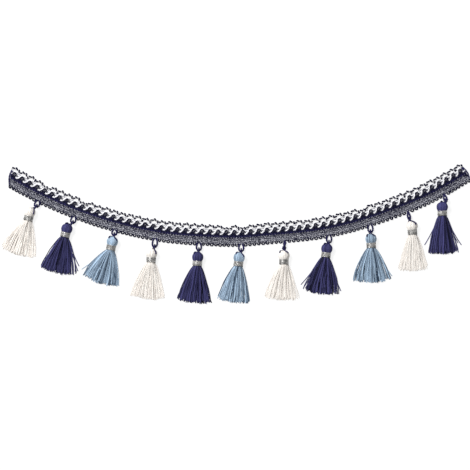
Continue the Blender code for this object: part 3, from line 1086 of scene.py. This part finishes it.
def wound_binding(name):
    """Metallic thread wound round the neck, turn beside turn."""
    takes = PLACE_TAKES + [("Turns", WHOLE, 7), ("Width", NUMBER, 0.0006)]
    net = new_tree(name, "GeometryNodeTree", [("Binding", GEOMETRY)], takes)
    turns, width = net.given("Turns"), net.given("Width")
    path = net.line(turns * POINTS_IN_TURN)
    turn = net.along() * turns
    bearing = turn * tau
    out = BINDING_HALF_WIDTH - width * 0.5 + net.drift(turn, pace=1.7) * SLACK
    rise = BINDING_HEIGHT / 2 - width * 0.5
    first = BINDING_TOP + width * 0.5
    down = net.along() * (BINDING_END - BINDING_TOP - width) + first
    down = down + net.drift(turn + 30.0, pace=1.1) * TURN_STRAY
    z = BINDING_HEIGHT / 2 + net.sin(bearing) * rise
    path = net.move(path, net.arrow(net.cos(bearing) * out, down * -1.0, z))
    # painted reflection: a noise round the neck paints bright glints and dark reflections along
    # the thread
    where = net.arrow(net.cos(bearing) * PAINTED_GLINTS, net.given("Seed"), turn * 0.25)
    painted_glint = net.noise(where, 1.0, detail=2.0)
    path = net.keep(path, "tone", net.within(painted_glint, 0.32, 0.68))
    mesh = put_in_place(net, net.real(net.thread(path, width, 7)))
    net.give({"Binding": net.dress(mesh, net.given("Thread"))})
    return net.tree


# ---- finishes ----


def fibre_lie(name):
    """Fine fibres that lie along a thread and turn round it."""
    takes = [
        ("Fibres", NUMBER, 3.0),
        ("Turns in a metre", NUMBER, 0.0),
        ("Run", NUMBER, 900.0),
    ]
    gives = [("Height", NUMBER), ("Shade", NUMBER)]
    net = new_tree(name, "ShaderNodeTree", gives, takes)
    along = net.of("ShaderNodeAttribute", output=AS_NUMBER, attribute_name="along")
    around = net.of("ShaderNodeAttribute", output=AS_ARROW, attribute_name="around")
    plugs = {"Vector": around, "Angle": along * net.given("Turns in a metre") * tau}
    turned = net.of("ShaderNodeVectorRotate", plugs, rotation_type="Z_AXIS")
    x, y, z = net.parts(turned)
    fibres = net.given("Fibres")
    where = net.arrow(x * fibres, y * fibres, along * net.given("Run"))
    height = net.noise(where, 1.0, detail=3.0)
    net.give({"Height": height, "Shade": net.within(height, 0.3, 0.7)})
    return net.tree


def dye_cloud(name):
    """Slow changes of shade over a whole piece."""
    net = new_tree(name, "ShaderNodeTree", [("Shade", NUMBER)], [("Scale", NUMBER, 60.0)])
    where = net.of("ShaderNodeTexCoord", output=OBJECT_PLACE)
    cloud = net.noise(where, net.given("Scale"), detail=2.0)
    net.give({"Shade": net.within(cloud, 0.3, 0.7)})
    return net.tree


UPPER_BAND = (0.0026, 0.0030)  # how far above its centreline the cloth turns silver-grey


def rib_weave(name):
    """A close plain weave, read from how far along and across the braid a point is."""
    takes = [("Threads in a metre", NUMBER, 1300.0)]
    gives = [("Height", NUMBER), ("Shade", NUMBER), ("Upper band", NUMBER)]
    net = new_tree(name, "ShaderNodeTree", gives, takes)
    strip = net.of("ShaderNodeAttribute", output=AS_ARROW, attribute_name="strip")
    x, y, z = net.parts(strip)
    pace = net.given("Threads in a metre") * pi
    weave = net.sin(x * pace) * net.sin(y * pace)
    net.give({
        "Height": weave * 0.5 + 0.5,
        "Shade": net.within(weave, -0.6, 0.6),
        "Upper band": net.within(y, *UPPER_BAND),
    })
    return net.tree


def opaque(rgb):
    return (*rgb, 1.0)


def start_material(name):
    made = bpy.data.materials.new(name)
    made.use_nodes = True
    net = Net(made.node_tree)
    return made, net, made.node_tree.nodes["Principled BSDF"]


def blend_colours(net, amount, dark, light):
    plugs = {MIX_AMOUNT: amount, MIX_DARK: dark, MIX_LIGHT: light}
    return net.of("ShaderNodeMix", plugs, MIX_RESULT, data_type="RGBA")


def use_group(net, make, labels):
    """A shared effect, placed in a material, and what its named outputs give."""
    node = net.add("ShaderNodeGroup", {}, node_tree=tree_of(make))
    return node, [Reading(net, node.outputs[label]) for label in labels]


# A thread's finish: the names of its dark and light colours, its roughness, the fibres across
# it, their turns in a metre and their run along it, what its tone takes from the strand, the
# fibres and the dye, and how metallic, glossy and bumpy it is.
Finish = namedtuple(
    "Finish",
    "dark light roughness fibres turns run mix metallic specular bump",
    defaults=((0.5, 0.35, 0.15), 0.0, 0.4, 0.5),
)
SILKY = (4.0, 90, 70, (0.8, 0.15, 0.05))
CORDED = (2.5, 500, 700)
FINISHES = {
    "navy_yarn": Finish("navy_dark", "navy_light", 0.50, *SILKY, specular=0.1),
    "sky_yarn": Finish("sky_dark", "sky_light", 0.50, *SILKY, specular=0.3),
    "ivory_yarn": Finish("ivory_dark", "ivory_light", 0.55, *SILKY, specular=0.2, bump=0.2),
    "navy_cord": Finish("cord_dark", "cord_light", 0.60, *CORDED, specular=0.06),
    "slate_thread": Finish("cord_dark", "grey_dark", 0.60, *CORDED, specular=0.08),
    "white_gimp": Finish("white_dark", "white_light", 0.60, 2.0, 1200, 900),
    "grey_thread": Finish("grey_dark", "grey_light", 0.45, 2.0, 600, 900),
    # the silver thread's tone is the bindings' painted glints
    "silver_thread": Finish(
        "metal_painted_dark", "metal_painted_bright", 0.35, 2.0, 1500, 1800, (0.8, 0.2, 0.0), metallic=0.6
    ),
}


def thread_finish(name):
    """A spun thread: its tone changes from strand to strand, along its fibres and slowly."""
    made, net, shader = start_material(name)
    finish = FINISHES[name]
    tones = bpy.context.scene.fringe_finish
    lie, (height, shade) = use_group(net, fibre_lie, ("Height", "Shade"))
    plugs = {"Fibres": finish.fibres, "Turns in a metre": finish.turns, "Run": finish.run}
    for label, value in plugs.items():
        lie.inputs[label].default_value = value
    cloud = net.group(tree_of(dye_cloud), {"Scale": 55.0})
    tone = net.of("ShaderNodeAttribute", output=AS_NUMBER, attribute_name="tone")
    amount = tone * finish.mix[0] + shade * finish.mix[1] + cloud * finish.mix[2]
    dark, light = (opaque(getattr(tones, end)) for end in (finish.dark, finish.light))
    net.plug(shader.inputs["Base Color"], blend_colours(net, amount, dark, light))
    net.plug(shader.inputs["Roughness"], shade * -0.15 + (finish.roughness + 0.07))
    plugs = {"Height": height, "Strength": finish.bump, "Distance": 0.0001}
    net.plug(shader.inputs["Normal"], net.of("ShaderNodeBump", plugs))
    shader.inputs["Metallic"].default_value = finish.metallic
    shader.inputs["Specular IOR Level"].default_value = finish.specular
    return made


def cloth_finish(name):
    """The woven cloth under the cords: navy below, and silver-grey behind the hooks."""
    made, net, shader = start_material(name)
    tones = bpy.context.scene.fringe_finish
    labels = ("Height", "Shade", "Upper band")
    weave, (height, shade, band) = use_group(net, rib_weave, labels)
    cloud = net.group(tree_of(dye_cloud), {"Scale": 120.0})
    amount = shade * 0.7 + cloud * 0.3
    lower = blend_colours(net, amount, opaque(tones.cord_dark), opaque(tones.cord_light))
    upper = blend_colours(net, amount, opaque(tones.grey_dark), opaque(tones.grey_light))
    net.plug(shader.inputs["Base Color"], blend_colours(net, band, lower, upper))
    net.plug(shader.inputs["Roughness"], shade * -0.1 + 0.85)
    plugs = {"Height": height, "Strength": 0.6, "Distance": 0.0002}
    net.plug(shader.inputs["Normal"], net.of("ShaderNodeBump", plugs))
    shader.inputs["Sheen Weight"].default_value = 0.1
    return made


finishes = {}


def finish_of(name):
    """One of the trim's finishes, made when it is first asked for."""
    if name not in finishes:
        make = cloth_finish if name == "braid_cloth" else thread_finish
        finishes[name] = make(name)
    return finishes[name]


# ---- places, worked out as the frame's own maker does ----


def on_bow(degrees, offset):
    """A point of the braid: degrees round the bow, and offset from the centreline."""
    braid = bpy.context.scene.fringe_braid
    radius = braid.bow_radius
    reach = radius + offset
    for stray in STRAYS:
        reach += stray.shift * exp(-(((degrees - stray.place) / stray.spread) ** 2))
    turn = radians(degrees)
    nearness = max(1 - (turn - braid.bow_start) * radius / SLANT_REACH, 0) ** 2
    turn += END_SLANT * offset * nearness / radius
    return Vector((reach * sin(turn), radius - reach * cos(turn), 0))


def raised(height):
    return Vector((0, 0, height))


def braid_length():
    braid = bpy.context.scene.fringe_braid
    return braid.bow_radius * (braid.bow_end - braid.bow_start)


def towards(lean):
    """The level unit vector that leans this many degrees from straight down the sheet."""
    return Vector((sin(radians(lean)), -cos(radians(lean)), 0))


def loop_bottom(tassel):
    """The middle of the cord at the loop's lowest point."""
    root = on_bow(tassel.place, GROUND_EDGE)
    return root + tassel.drop * towards(tassel.swing) + raised(LOOP_BOTTOM_Z)


def loop_points(tassel, number=25):
    """A hanging loop, from one leg in the braid to the other."""
    root = on_bow(tassel.place, GROUND_EDGE + LOOP_ROOT)
    down = towards(tassel.swing)
    across = Vector((-down.y, down.x, 0))
    depth = (loop_bottom(tassel) - root).to_2d().length
    half_height = depth / (1 - cos(radians(LOOP_OPEN_ANGLE)))
    points = []
    for i in range(number):
        turn = radians(LOOP_OPEN_ANGLE * (2 * i / (number - 1) - 1))
        fall = depth - half_height * (1 - cos(turn))
        down_share = fall / depth
        rise = LOOP_TOP_Z + (LOOP_BOTTOM_Z - LOOP_TOP_Z) * fall / depth
        open_width = tassel.open + (1 - tassel.open) * down_share
        side = LOOP_HALF_WIDTH * open_width * sin(turn) * (1 + LOOP_FULLNESS * cos(turn))
        turned = radians(tassel.twist) * down_share
        rise += max(side * sin(turned) * LOOP_TURN_OVER, 0)
        points.append(root + fall * down + side * cos(turned) * across + raised(rise))
    inward = -LOOP_TAIL * down
    return [points[0] + inward] + points + [points[-1] + inward]


def head_middle(tassel):
    return loop_bottom(tassel).to_2d().to_3d() + Vector((tassel.across, tassel.down, 0))


# The points of a tie on the head, in the order in which the cord passes them: the bearing from
# the loop and the rise from the level of the head's middle, in degrees. It comes over the left
# shoulder, or only from under the loop, and then lies on the head in one of three ways.
TIE_LEFT = ((-56, 30), (-46, 16), (-34, -8), (-18, -28))
TIE_RIGHT = {
    "both": ((14, 24), (38, 32), (62, 32)),
    "right": ((14, 24), (42, 35), (72, 36)),
    "front": ((20, 34), (50, 48), (92, 50)),
}
FRONT_TIE_END = 0.0055  # how high over the floor a tie across the front goes into the head
TIE_BITE = 0.0002  # how far a tie sinks into the head


def tie_points(tassel, loop_width, tie_width):
    """Up from one shoulder, under the loop, round its cord, and down over the other shoulder."""
    bottom = loop_bottom(tassel)
    into_loop = -towards(tassel.swing)
    bend_radius = (loop_width + tie_width) / 2 + 1.5 * CORD_GAP
    up = Vector((0, 0, 1))
    bight = [
        bottom + bend_radius * (cos(radians(turn)) * into_loop + sin(radians(turn)) * up)
        for turn in (-90, -40, 0, 40, 90)
    ]
    middle = head_middle(tassel)
    to_loop = (bottom - middle).to_2d().to_3d().normalized()
    across = Vector((to_loop.y, -to_loop.x, 0))
    spare = tie_width / 2 - TIE_BITE
    long_reach = spare - HEAD_TOP
    side_reach = spare + HEAD_HALF_WIDTH
    up_reach = spare + HEAD_HEIGHT / 2
    centre = middle + raised(HEAD_HEIGHT / 2)

    def over_head(bearing, rise):
        level = cos(radians(rise))
        ahead = long_reach * level * cos(radians(bearing))
        sideways = side_reach * level * sin(radians(bearing))
        return centre + ahead * to_loop + sideways * across + up * up_reach * sin(radians(rise))

    left = [over_head(*spot) for spot in TIE_LEFT]
    right = [over_head(*spot) for spot in TIE_RIGHT[tassel.tie]]
    if tassel.tie != "both":
        left = left[-1:]
    if tassel.tie == "front":
        right.append(middle + FRONT_TIE_END * up)
    return left + bight + right


WISP_START = 0.0030  # how far from the neck's middle a stray strand leaves
WISP_FOLLOW = 0.35  # how far it leans with the skirt's edge at first
WISP_UP = 0.0028  # how much higher it starts than it ends
WISP_END_UP = 0.0005


def wisp_points(tassel, wisp, number=12):
    """A stray strand, which leaves the neck with the skirt and then bends away from it."""
    down = towards(tassel.lean)
    neck = head_middle(tassel) + BINDING_END * down
    across = Vector((-down.y, down.x, 0))
    edge = tassel.left if wisp.side < 0 else tassel.right
    reach = wisp.reach * tassel.reach * SKIRT_LENGTH
    points = []
    for i in range(number):
        out = i / (number - 1)
        lean = wisp.lean + (edge - wisp.lean) * WISP_FOLLOW * (1 - out)
        start = wisp.side * WISP_START * (1 - out) * across
        rise = raised(WISP_END_UP + WISP_UP * (1 - out) ** 2)
        points.append(neck + start + reach * out * towards(lean) + rise)
    return points


# The cords that close a cut end of the braid: how far each bulges out, how far in it starts, and
# the share of the end that it covers, from its top.
EndCord = namedtuple("EndCord", "bulge inset reach")
END_CORDS = (EndCord(0.0011, 0.0002, 1.0), EndCord(0.0010, 0.0014, 0.55))
END_TOP = -0.0058
END_DEPTH = 0.0122
END_UP = 0.0012
END_HUMP = 0.0010


def end_points(degrees, side, end_cord, number=11):
    """A cord that closes a cut end. side is -1 at the left and 1 at the right."""
    turn = radians(degrees)
    points = []
    for i in range(number):
        share_down = i / (number - 1)
        offset = END_TOP + END_DEPTH * end_cord.reach * share_down
        hump = sin(pi * share_down)
        out = side * (end_cord.bulge * hump - end_cord.inset)
        along = Vector((cos(turn), sin(turn), 0)) * out
        points.append(on_bow(degrees, offset) + along + raised(END_UP + END_HUMP * hump))
    return points


def chains(name, *paths):
    """A mesh of edges from point to point along each path."""
    points, edges = [], []
    for path in paths:
        first = len(points)
        points += path
        edges += [(i, i + 1) for i in range(first, len(points) - 1)]
    mesh = bpy.data.meshes.new(name)
    mesh.from_pydata(points, edges, [])
    return mesh


# ---- operators ----


def ride(piece, slot, *replaced):
    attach(piece, "root")
    if replaced:
        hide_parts(*replaced)
    return piece


def bow_settings(seed):
    braid = bpy.context.scene.fringe_braid
    return {
        "Bow radius": braid.bow_radius,
        "Bow start": braid.bow_start,
        "Braid length": braid_length(),
        "Repeats": braid.repeats,
        "Seed": seed,
    }


def cord_settings(width, turn, thread, second=None, second_ply=1.0):
    return {
        "Width": width,
        "Turn length": turn,
        "Second ply": second_ply,
        "Thread": finish_of(thread),
        "Second thread": finish_of(second or thread),
    }


# The corded rows: how each cord of a row is laid, the steps in a turn of its twist (none for a
# plain thread), which setting gives its width, its turn's length, and its threads.
Row = namedtuple(
    "Row", "name slot lays steps width turn thread second second_ply", defaults=(None, 1.0)
)
ROWS = (
    Row("arch_cord", "navy", [arch_lay], 12,
        "arch_width", 0.0030, "slate_thread", "white_gimp", 0.5),
    Row("gimp_rows", "ivory", [BAND_LAY, INNER_BAND_LAY, lay_from(GIMP_LAY)], 7,
        "gimp_width", 0.0024, "white_gimp"),
    Row("hook_cord", "navy", [lay_from(HOOK_LAY)], 7,
        "hook_width", 0.0023, "slate_thread"),
    Row("white_tacking", "ivory", [tacking_lay], 0,
        "tacking_width", 0.0020, "grey_thread"),
    Row("navy_plait", "navy", [plait_lay(strand) for strand in range(PLAIT_STRANDS)], 6,
        "plait_width", 0.0030, "navy_cord"),
)


class FRINGE_OT_cloth(bpy.types.Operator):
    """Weave the cloth under the cords"""

    bl_idname = "fringe.cloth"
    bl_label = "Braid cloth"

    def execute(self, context):
        settings = bow_settings(seed=1)
        settings["Thickness"] = context.scene.fringe_braid.cloth_thickness
        settings["Thread"] = finish_of("braid_cloth")
        ride(grow("braid_cloth", tree_of(woven_cloth), settings), "braid", "heading")
        return {"FINISHED"}


class FRINGE_OT_rows(bpy.types.Operator):
    """Lay the arch cord, the gimp, the hooks and the navy row"""

    bl_idname = "fringe.rows"
    bl_label = "Corded rows"

    def execute(self, context):
        for line in ROWS:
            width = getattr(context.scene.fringe_braid, line.width)
            settings = bow_settings(seed=2)
            settings.update(
                cord_settings(width, line.turn, line.thread, line.second, line.second_ply)
            )
            ride(grow(line.name, row(line.name, line.lays, line.steps), settings), line.slot)
        return {"FINISHED"}


class FRINGE_OT_ground(bpy.types.Operator):
    """Weave the silver-grey ground"""

    bl_idname = "fringe.ground"
    bl_label = "Woven ground"

    def execute(self, context):
        braid = context.scene.fringe_braid
        settings = bow_settings(seed=8)
        settings["Threads"] = braid.ground_threads
        settings["Width"] = braid.ground_width
        settings["Slant"] = GROUND_SLANT
        settings["Thread"] = finish_of("grey_thread")
        settings["Second thread"] = finish_of("slate_thread")
        ride(grow("ground_threads", tree_of(ground_weave), settings), "silver")
        return {"FINISHED"}


class FRINGE_OT_picots(bpy.types.Operator):
    """Loop the picots along the lower edge"""

    bl_idname = "fringe.picots"
    bl_label = "Picots"

    def execute(self, context):
        braid = context.scene.fringe_braid
        settings = bow_settings(seed=9)
        settings.update(cord_settings(braid.picot_width, turn=0.0022, thread="slate_thread"))
        stops = [CUT_MARGIN - LOOP_CLEARANCE]
        for tassel in TASSELS:
            stops.append(braid.bow_radius * (radians(tassel.place) - braid.bow_start))
        stops.append(settings["Braid length"] - CUT_MARGIN + LOOP_CLEARANCE)
        places = []
        for before, after in zip(stops, stops[1:]):
            room = after - before - 2 * LOOP_CLEARANCE
            gaps = round(room / braid.picot_pitch)
            for i in range(gaps + 1):
                along = before + LOOP_CLEARANCE + room * i / gaps
                places.append((along, -PICOT_LINE, PICOT_UP))
        mesh = bpy.data.meshes.new("picot_places")
        mesh.from_pydata(places, [], [])
        ride(grow("picot_cord", tree_of(picot_edging), settings, mesh), "navy")
        return {"FINISHED"}


class FRINGE_OT_loops(bpy.types.Operator):
    """Hang a loop for each tassel"""

    bl_idname = "fringe.loops"
    bl_label = "Hanging loops"

    def execute(self, context):
        width = context.scene.fringe_tassels.loop_width
        settings = cord_settings(width, turn=0.0030, thread="navy_cord")
        for number, tassel in enumerate(TASSELS, start=1):
            path = chains("loop_path", loop_points(tassel))
            piece = grow(f"loop_cord_{number:02d}", tree_of(cord_on_path), settings, path)
            ride(piece, "navy", f"loop_{number:02d}")
        return {"FINISHED"}


class FRINGE_OT_ties(bpy.types.Operator):
    """Tie each tassel to its loop"""

    bl_idname = "fringe.ties"
    bl_label = "Ties"

    def execute(self, context):
        sizes = context.scene.fringe_tassels
        settings = cord_settings(sizes.tie_width, turn=0.0024, thread="navy_cord")
        for number, tassel in enumerate(TASSELS, start=1):
            path = chains("tie_path", tie_points(tassel, sizes.loop_width, sizes.tie_width))
            piece = grow(f"tie_cord_{number:02d}", tree_of(cord_on_path), settings, path)
            ride(piece, "navy", f"tie_{number:02d}")
        return {"FINISHED"}


class FRINGE_OT_tassels(bpy.types.Operator):
    """Fold and cut each tassel's hank of yarn"""

    bl_idname = "fringe.tassels"
    bl_label = "Tassels"

    def execute(self, context):
        sizes = context.scene.fringe_tassels
        for number, tassel in enumerate(TASSELS, start=1):
            yarn = YARNS[tassel.yarn]
            settings = {
                "Middle": head_middle(tassel),
                "Lean": radians(tassel.lean),
                "Seed": 100 * number,
                "Thread": finish_of(tassel.yarn + "_yarn"),
                "Head strands": round(yarn.head_strands * sizes.fullness),
                "Head strand": yarn.head_width,
                "Skirt strands": round(yarn.strands * sizes.fullness),
                "Skirt strand": yarn.width,
                "Locks": sizes.locks,
                "Left edge": radians(tassel.left - tassel.lean),
                "Right edge": radians(tassel.right - tassel.lean),
                "Skirt length": tassel.reach * SKIRT_LENGTH,
            }
            piece = grow(f"yarn_{number:02d}", tree_of(hank_of_yarn), settings)
            ride(piece, tassel.yarn, f"tassel_{number:02d}")
        return {"FINISHED"}


class FRINGE_OT_wisps(bpy.types.Operator):
    """Pull a few strands away from their skirts"""

    bl_idname = "fringe.wisps"
    bl_label = "Stray strands"

    def execute(self, context):
        width = context.scene.fringe_tassels.wisp_width
        for number, tassel in enumerate(TASSELS, start=1):
            paths = [wisp_points(tassel, wisp) for wisp in WISPS if wisp.tassel == number]
            if not paths:
                continue
            settings = cord_settings(width, turn=0.0030, thread=tassel.yarn + "_yarn")
            path = chains("wisp_paths", *paths)
            ride(grow(f"wisps_{number:02d}", tree_of(strand_on_path), settings, path), tassel.yarn)
        return {"FINISHED"}


class FRINGE_OT_ends(bpy.types.Operator):
    """Close the braid's cut ends with cord"""

    bl_idname = "fringe.ends"
    bl_label = "Closed ends"

    def execute(self, context):
        braid = context.scene.fringe_braid
        settings = cord_settings(braid.end_width, turn=0.0026, thread="navy_cord")
        for name, side, turn in (("left", -1, braid.bow_start), ("right", 1, braid.bow_end)):
            paths = [end_points(turn * 180 / pi, side, end_cord) for end_cord in END_CORDS]
            path = chains("end_paths", *paths)
            ride(grow(f"end_cords_{name}", tree_of(cord_on_path), settings, path), "navy")
        return {"FINISHED"}


class FRINGE_OT_bindings(bpy.types.Operator):
    """Wind metallic thread round each neck"""

    bl_idname = "fringe.bindings"
    bl_label = "Bindings"

    def execute(self, context):
        sizes = context.scene.fringe_tassels
        for number, tassel in enumerate(TASSELS, start=1):
            settings = {
                "Middle": head_middle(tassel),
                "Lean": radians(tassel.lean),
                "Seed": 50 + number,
                "Thread": finish_of("silver_thread"),
                "Turns": sizes.binding_turns,
                "Width": sizes.binding_thread,
            }
            piece = grow(f"wound_thread_{number:02d}", tree_of(wound_binding), settings)
            ride(piece, "silver", f"binding_{number:02d}")
        return {"FINISHED"}


FLOOR_DROP = 0.0002  # how far the floor lies under the trim
KEY_SIZE = 0.7
KEY_PLACE = (-0.75, 0.75, 1.4)
CAMERA_Y = 0.0022  # the camera looks straight down on this line
SENSOR_WIDTH = 36
WHITE = (1.0, 1.0, 1.0, 1.0)


class FRINGE_OT_stage(bpy.types.Operator):
    """Set up the pale floor, the soft light and the camera"""

    bl_idname = "fringe.stage"
    bl_label = "Studio"

    def execute(self, context):
        studio = context.scene.fringe_studio
        scene = context.scene
        half = studio.floor_side / 2
        corners = ((-half, -half), (half, -half), (half, half), (-half, half))
        mesh = bpy.data.meshes.new("floor")
        mesh.from_pydata([(x, y, -FLOOR_DROP) for x, y in corners], [], [(0, 1, 2, 3)])
        floor = bpy.data.objects.new("floor", mesh)
        scene.collection.objects.link(floor)
        made, net, shader = start_material("pale_floor")
        cloud = net.group(tree_of(dye_cloud), {"Scale": 3.0})
        tone = studio.floor_tone
        paper = blend_colours(net, cloud, opaque((tone,) * 3), opaque((tone + 0.01,) * 3))
        net.plug(shader.inputs["Base Color"], paper)
        shader.inputs["Roughness"].default_value = 0.95
        shader.inputs["Specular IOR Level"].default_value = 0.0
        shader.inputs["Emission Color"].default_value = WHITE
        shader.inputs["Emission Strength"].default_value = studio.floor_glow
        mesh.materials.append(made)

        light = bpy.data.lights.new("key", "AREA")
        light.shape = "DISK"
        light.size = KEY_SIZE
        light.energy = studio.key_power
        key = bpy.data.objects.new("key", light)
        key.location = KEY_PLACE
        key.rotation_euler = (-key.location).to_track_quat("-Z", "Y").to_euler()
        scene.collection.objects.link(key)

        world = bpy.data.worlds.new("studio")
        world.use_nodes = True
        background = world.node_tree.nodes["Background"]
        background.inputs["Color"].default_value = WHITE
        background.inputs["Strength"].default_value = studio.fill_power
        scene.world = world
        scene.view_settings.view_transform = "Standard"

        lens = bpy.data.cameras.new("camera")
        lens.lens = studio.lens
        lens.sensor_width = SENSOR_WIDTH
        camera = bpy.data.objects.new("camera", lens)
        camera.location = (0, CAMERA_Y, studio.camera_height)
        scene.collection.objects.link(camera)
        scene.camera = camera
        return {"FINISHED"}


class FRINGE_PT_panel(bpy.types.Panel):
    """The trim's pieces, in the order in which they are made"""

    bl_idname = "FRINGE_PT_panel"
    bl_label = "Tassel fringe trim"
    bl_space_type = "VIEW_3D"
    bl_region_type = "UI"
    bl_category = "Fringe"

    def draw(self, context):
        for settings in ("fringe_braid", "fringe_tassels", "fringe_finish", "fringe_studio"):
            box = self.layout.box()
            group = getattr(context.scene, settings)
            for label in group.__annotations__:
                box.prop(group, label)
        for operator in OPERATORS:
            self.layout.operator(operator.bl_idname)


SETTINGS = {
    "fringe_braid": BraidSettings,
    "fringe_tassels": TasselSettings,
    "fringe_finish": FinishSettings,
    "fringe_studio": StudioSettings,
}
OPERATORS = (
    FRINGE_OT_cloth,
    FRINGE_OT_rows,
    FRINGE_OT_ground,
    FRINGE_OT_picots,
    FRINGE_OT_ends,
    FRINGE_OT_loops,
    FRINGE_OT_ties,
    FRINGE_OT_tassels,
    FRINGE_OT_wisps,
    FRINGE_OT_bindings,
    FRINGE_OT_stage,
)


def register():
    for made in (*SETTINGS.values(), *OPERATORS, FRINGE_PT_panel):
        bpy.utils.register_class(made)
    for name, group in SETTINGS.items():
        setattr(bpy.types.Scene, name, PointerProperty(type=group))


def unregister():
    for name in SETTINGS:
        delattr(bpy.types.Scene, name)
    for made in reversed((*SETTINGS.values(), *OPERATORS, FRINGE_PT_panel)):
        bpy.utils.unregister_class(made)


def declare_cloth():
    """Works out the braid's length, and does nothing more with it."""
    long = braid_length()


def main():
    register()
    bpy.ops.fringe.stage()
    bpy.ops.fringe.cloth()
    bpy.ops.fringe.rows()
    bpy.ops.fringe.ground()
    bpy.ops.fringe.picots()
    bpy.ops.fringe.ends()
    bpy.ops.fringe.loops()
    bpy.ops.fringe.ties()
    bpy.ops.fringe.tassels()
    bpy.ops.fringe.wisps()
    bpy.ops.fringe.bindings()
    declare_cloth()
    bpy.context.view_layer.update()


if __name__ == "__main__":
    main()
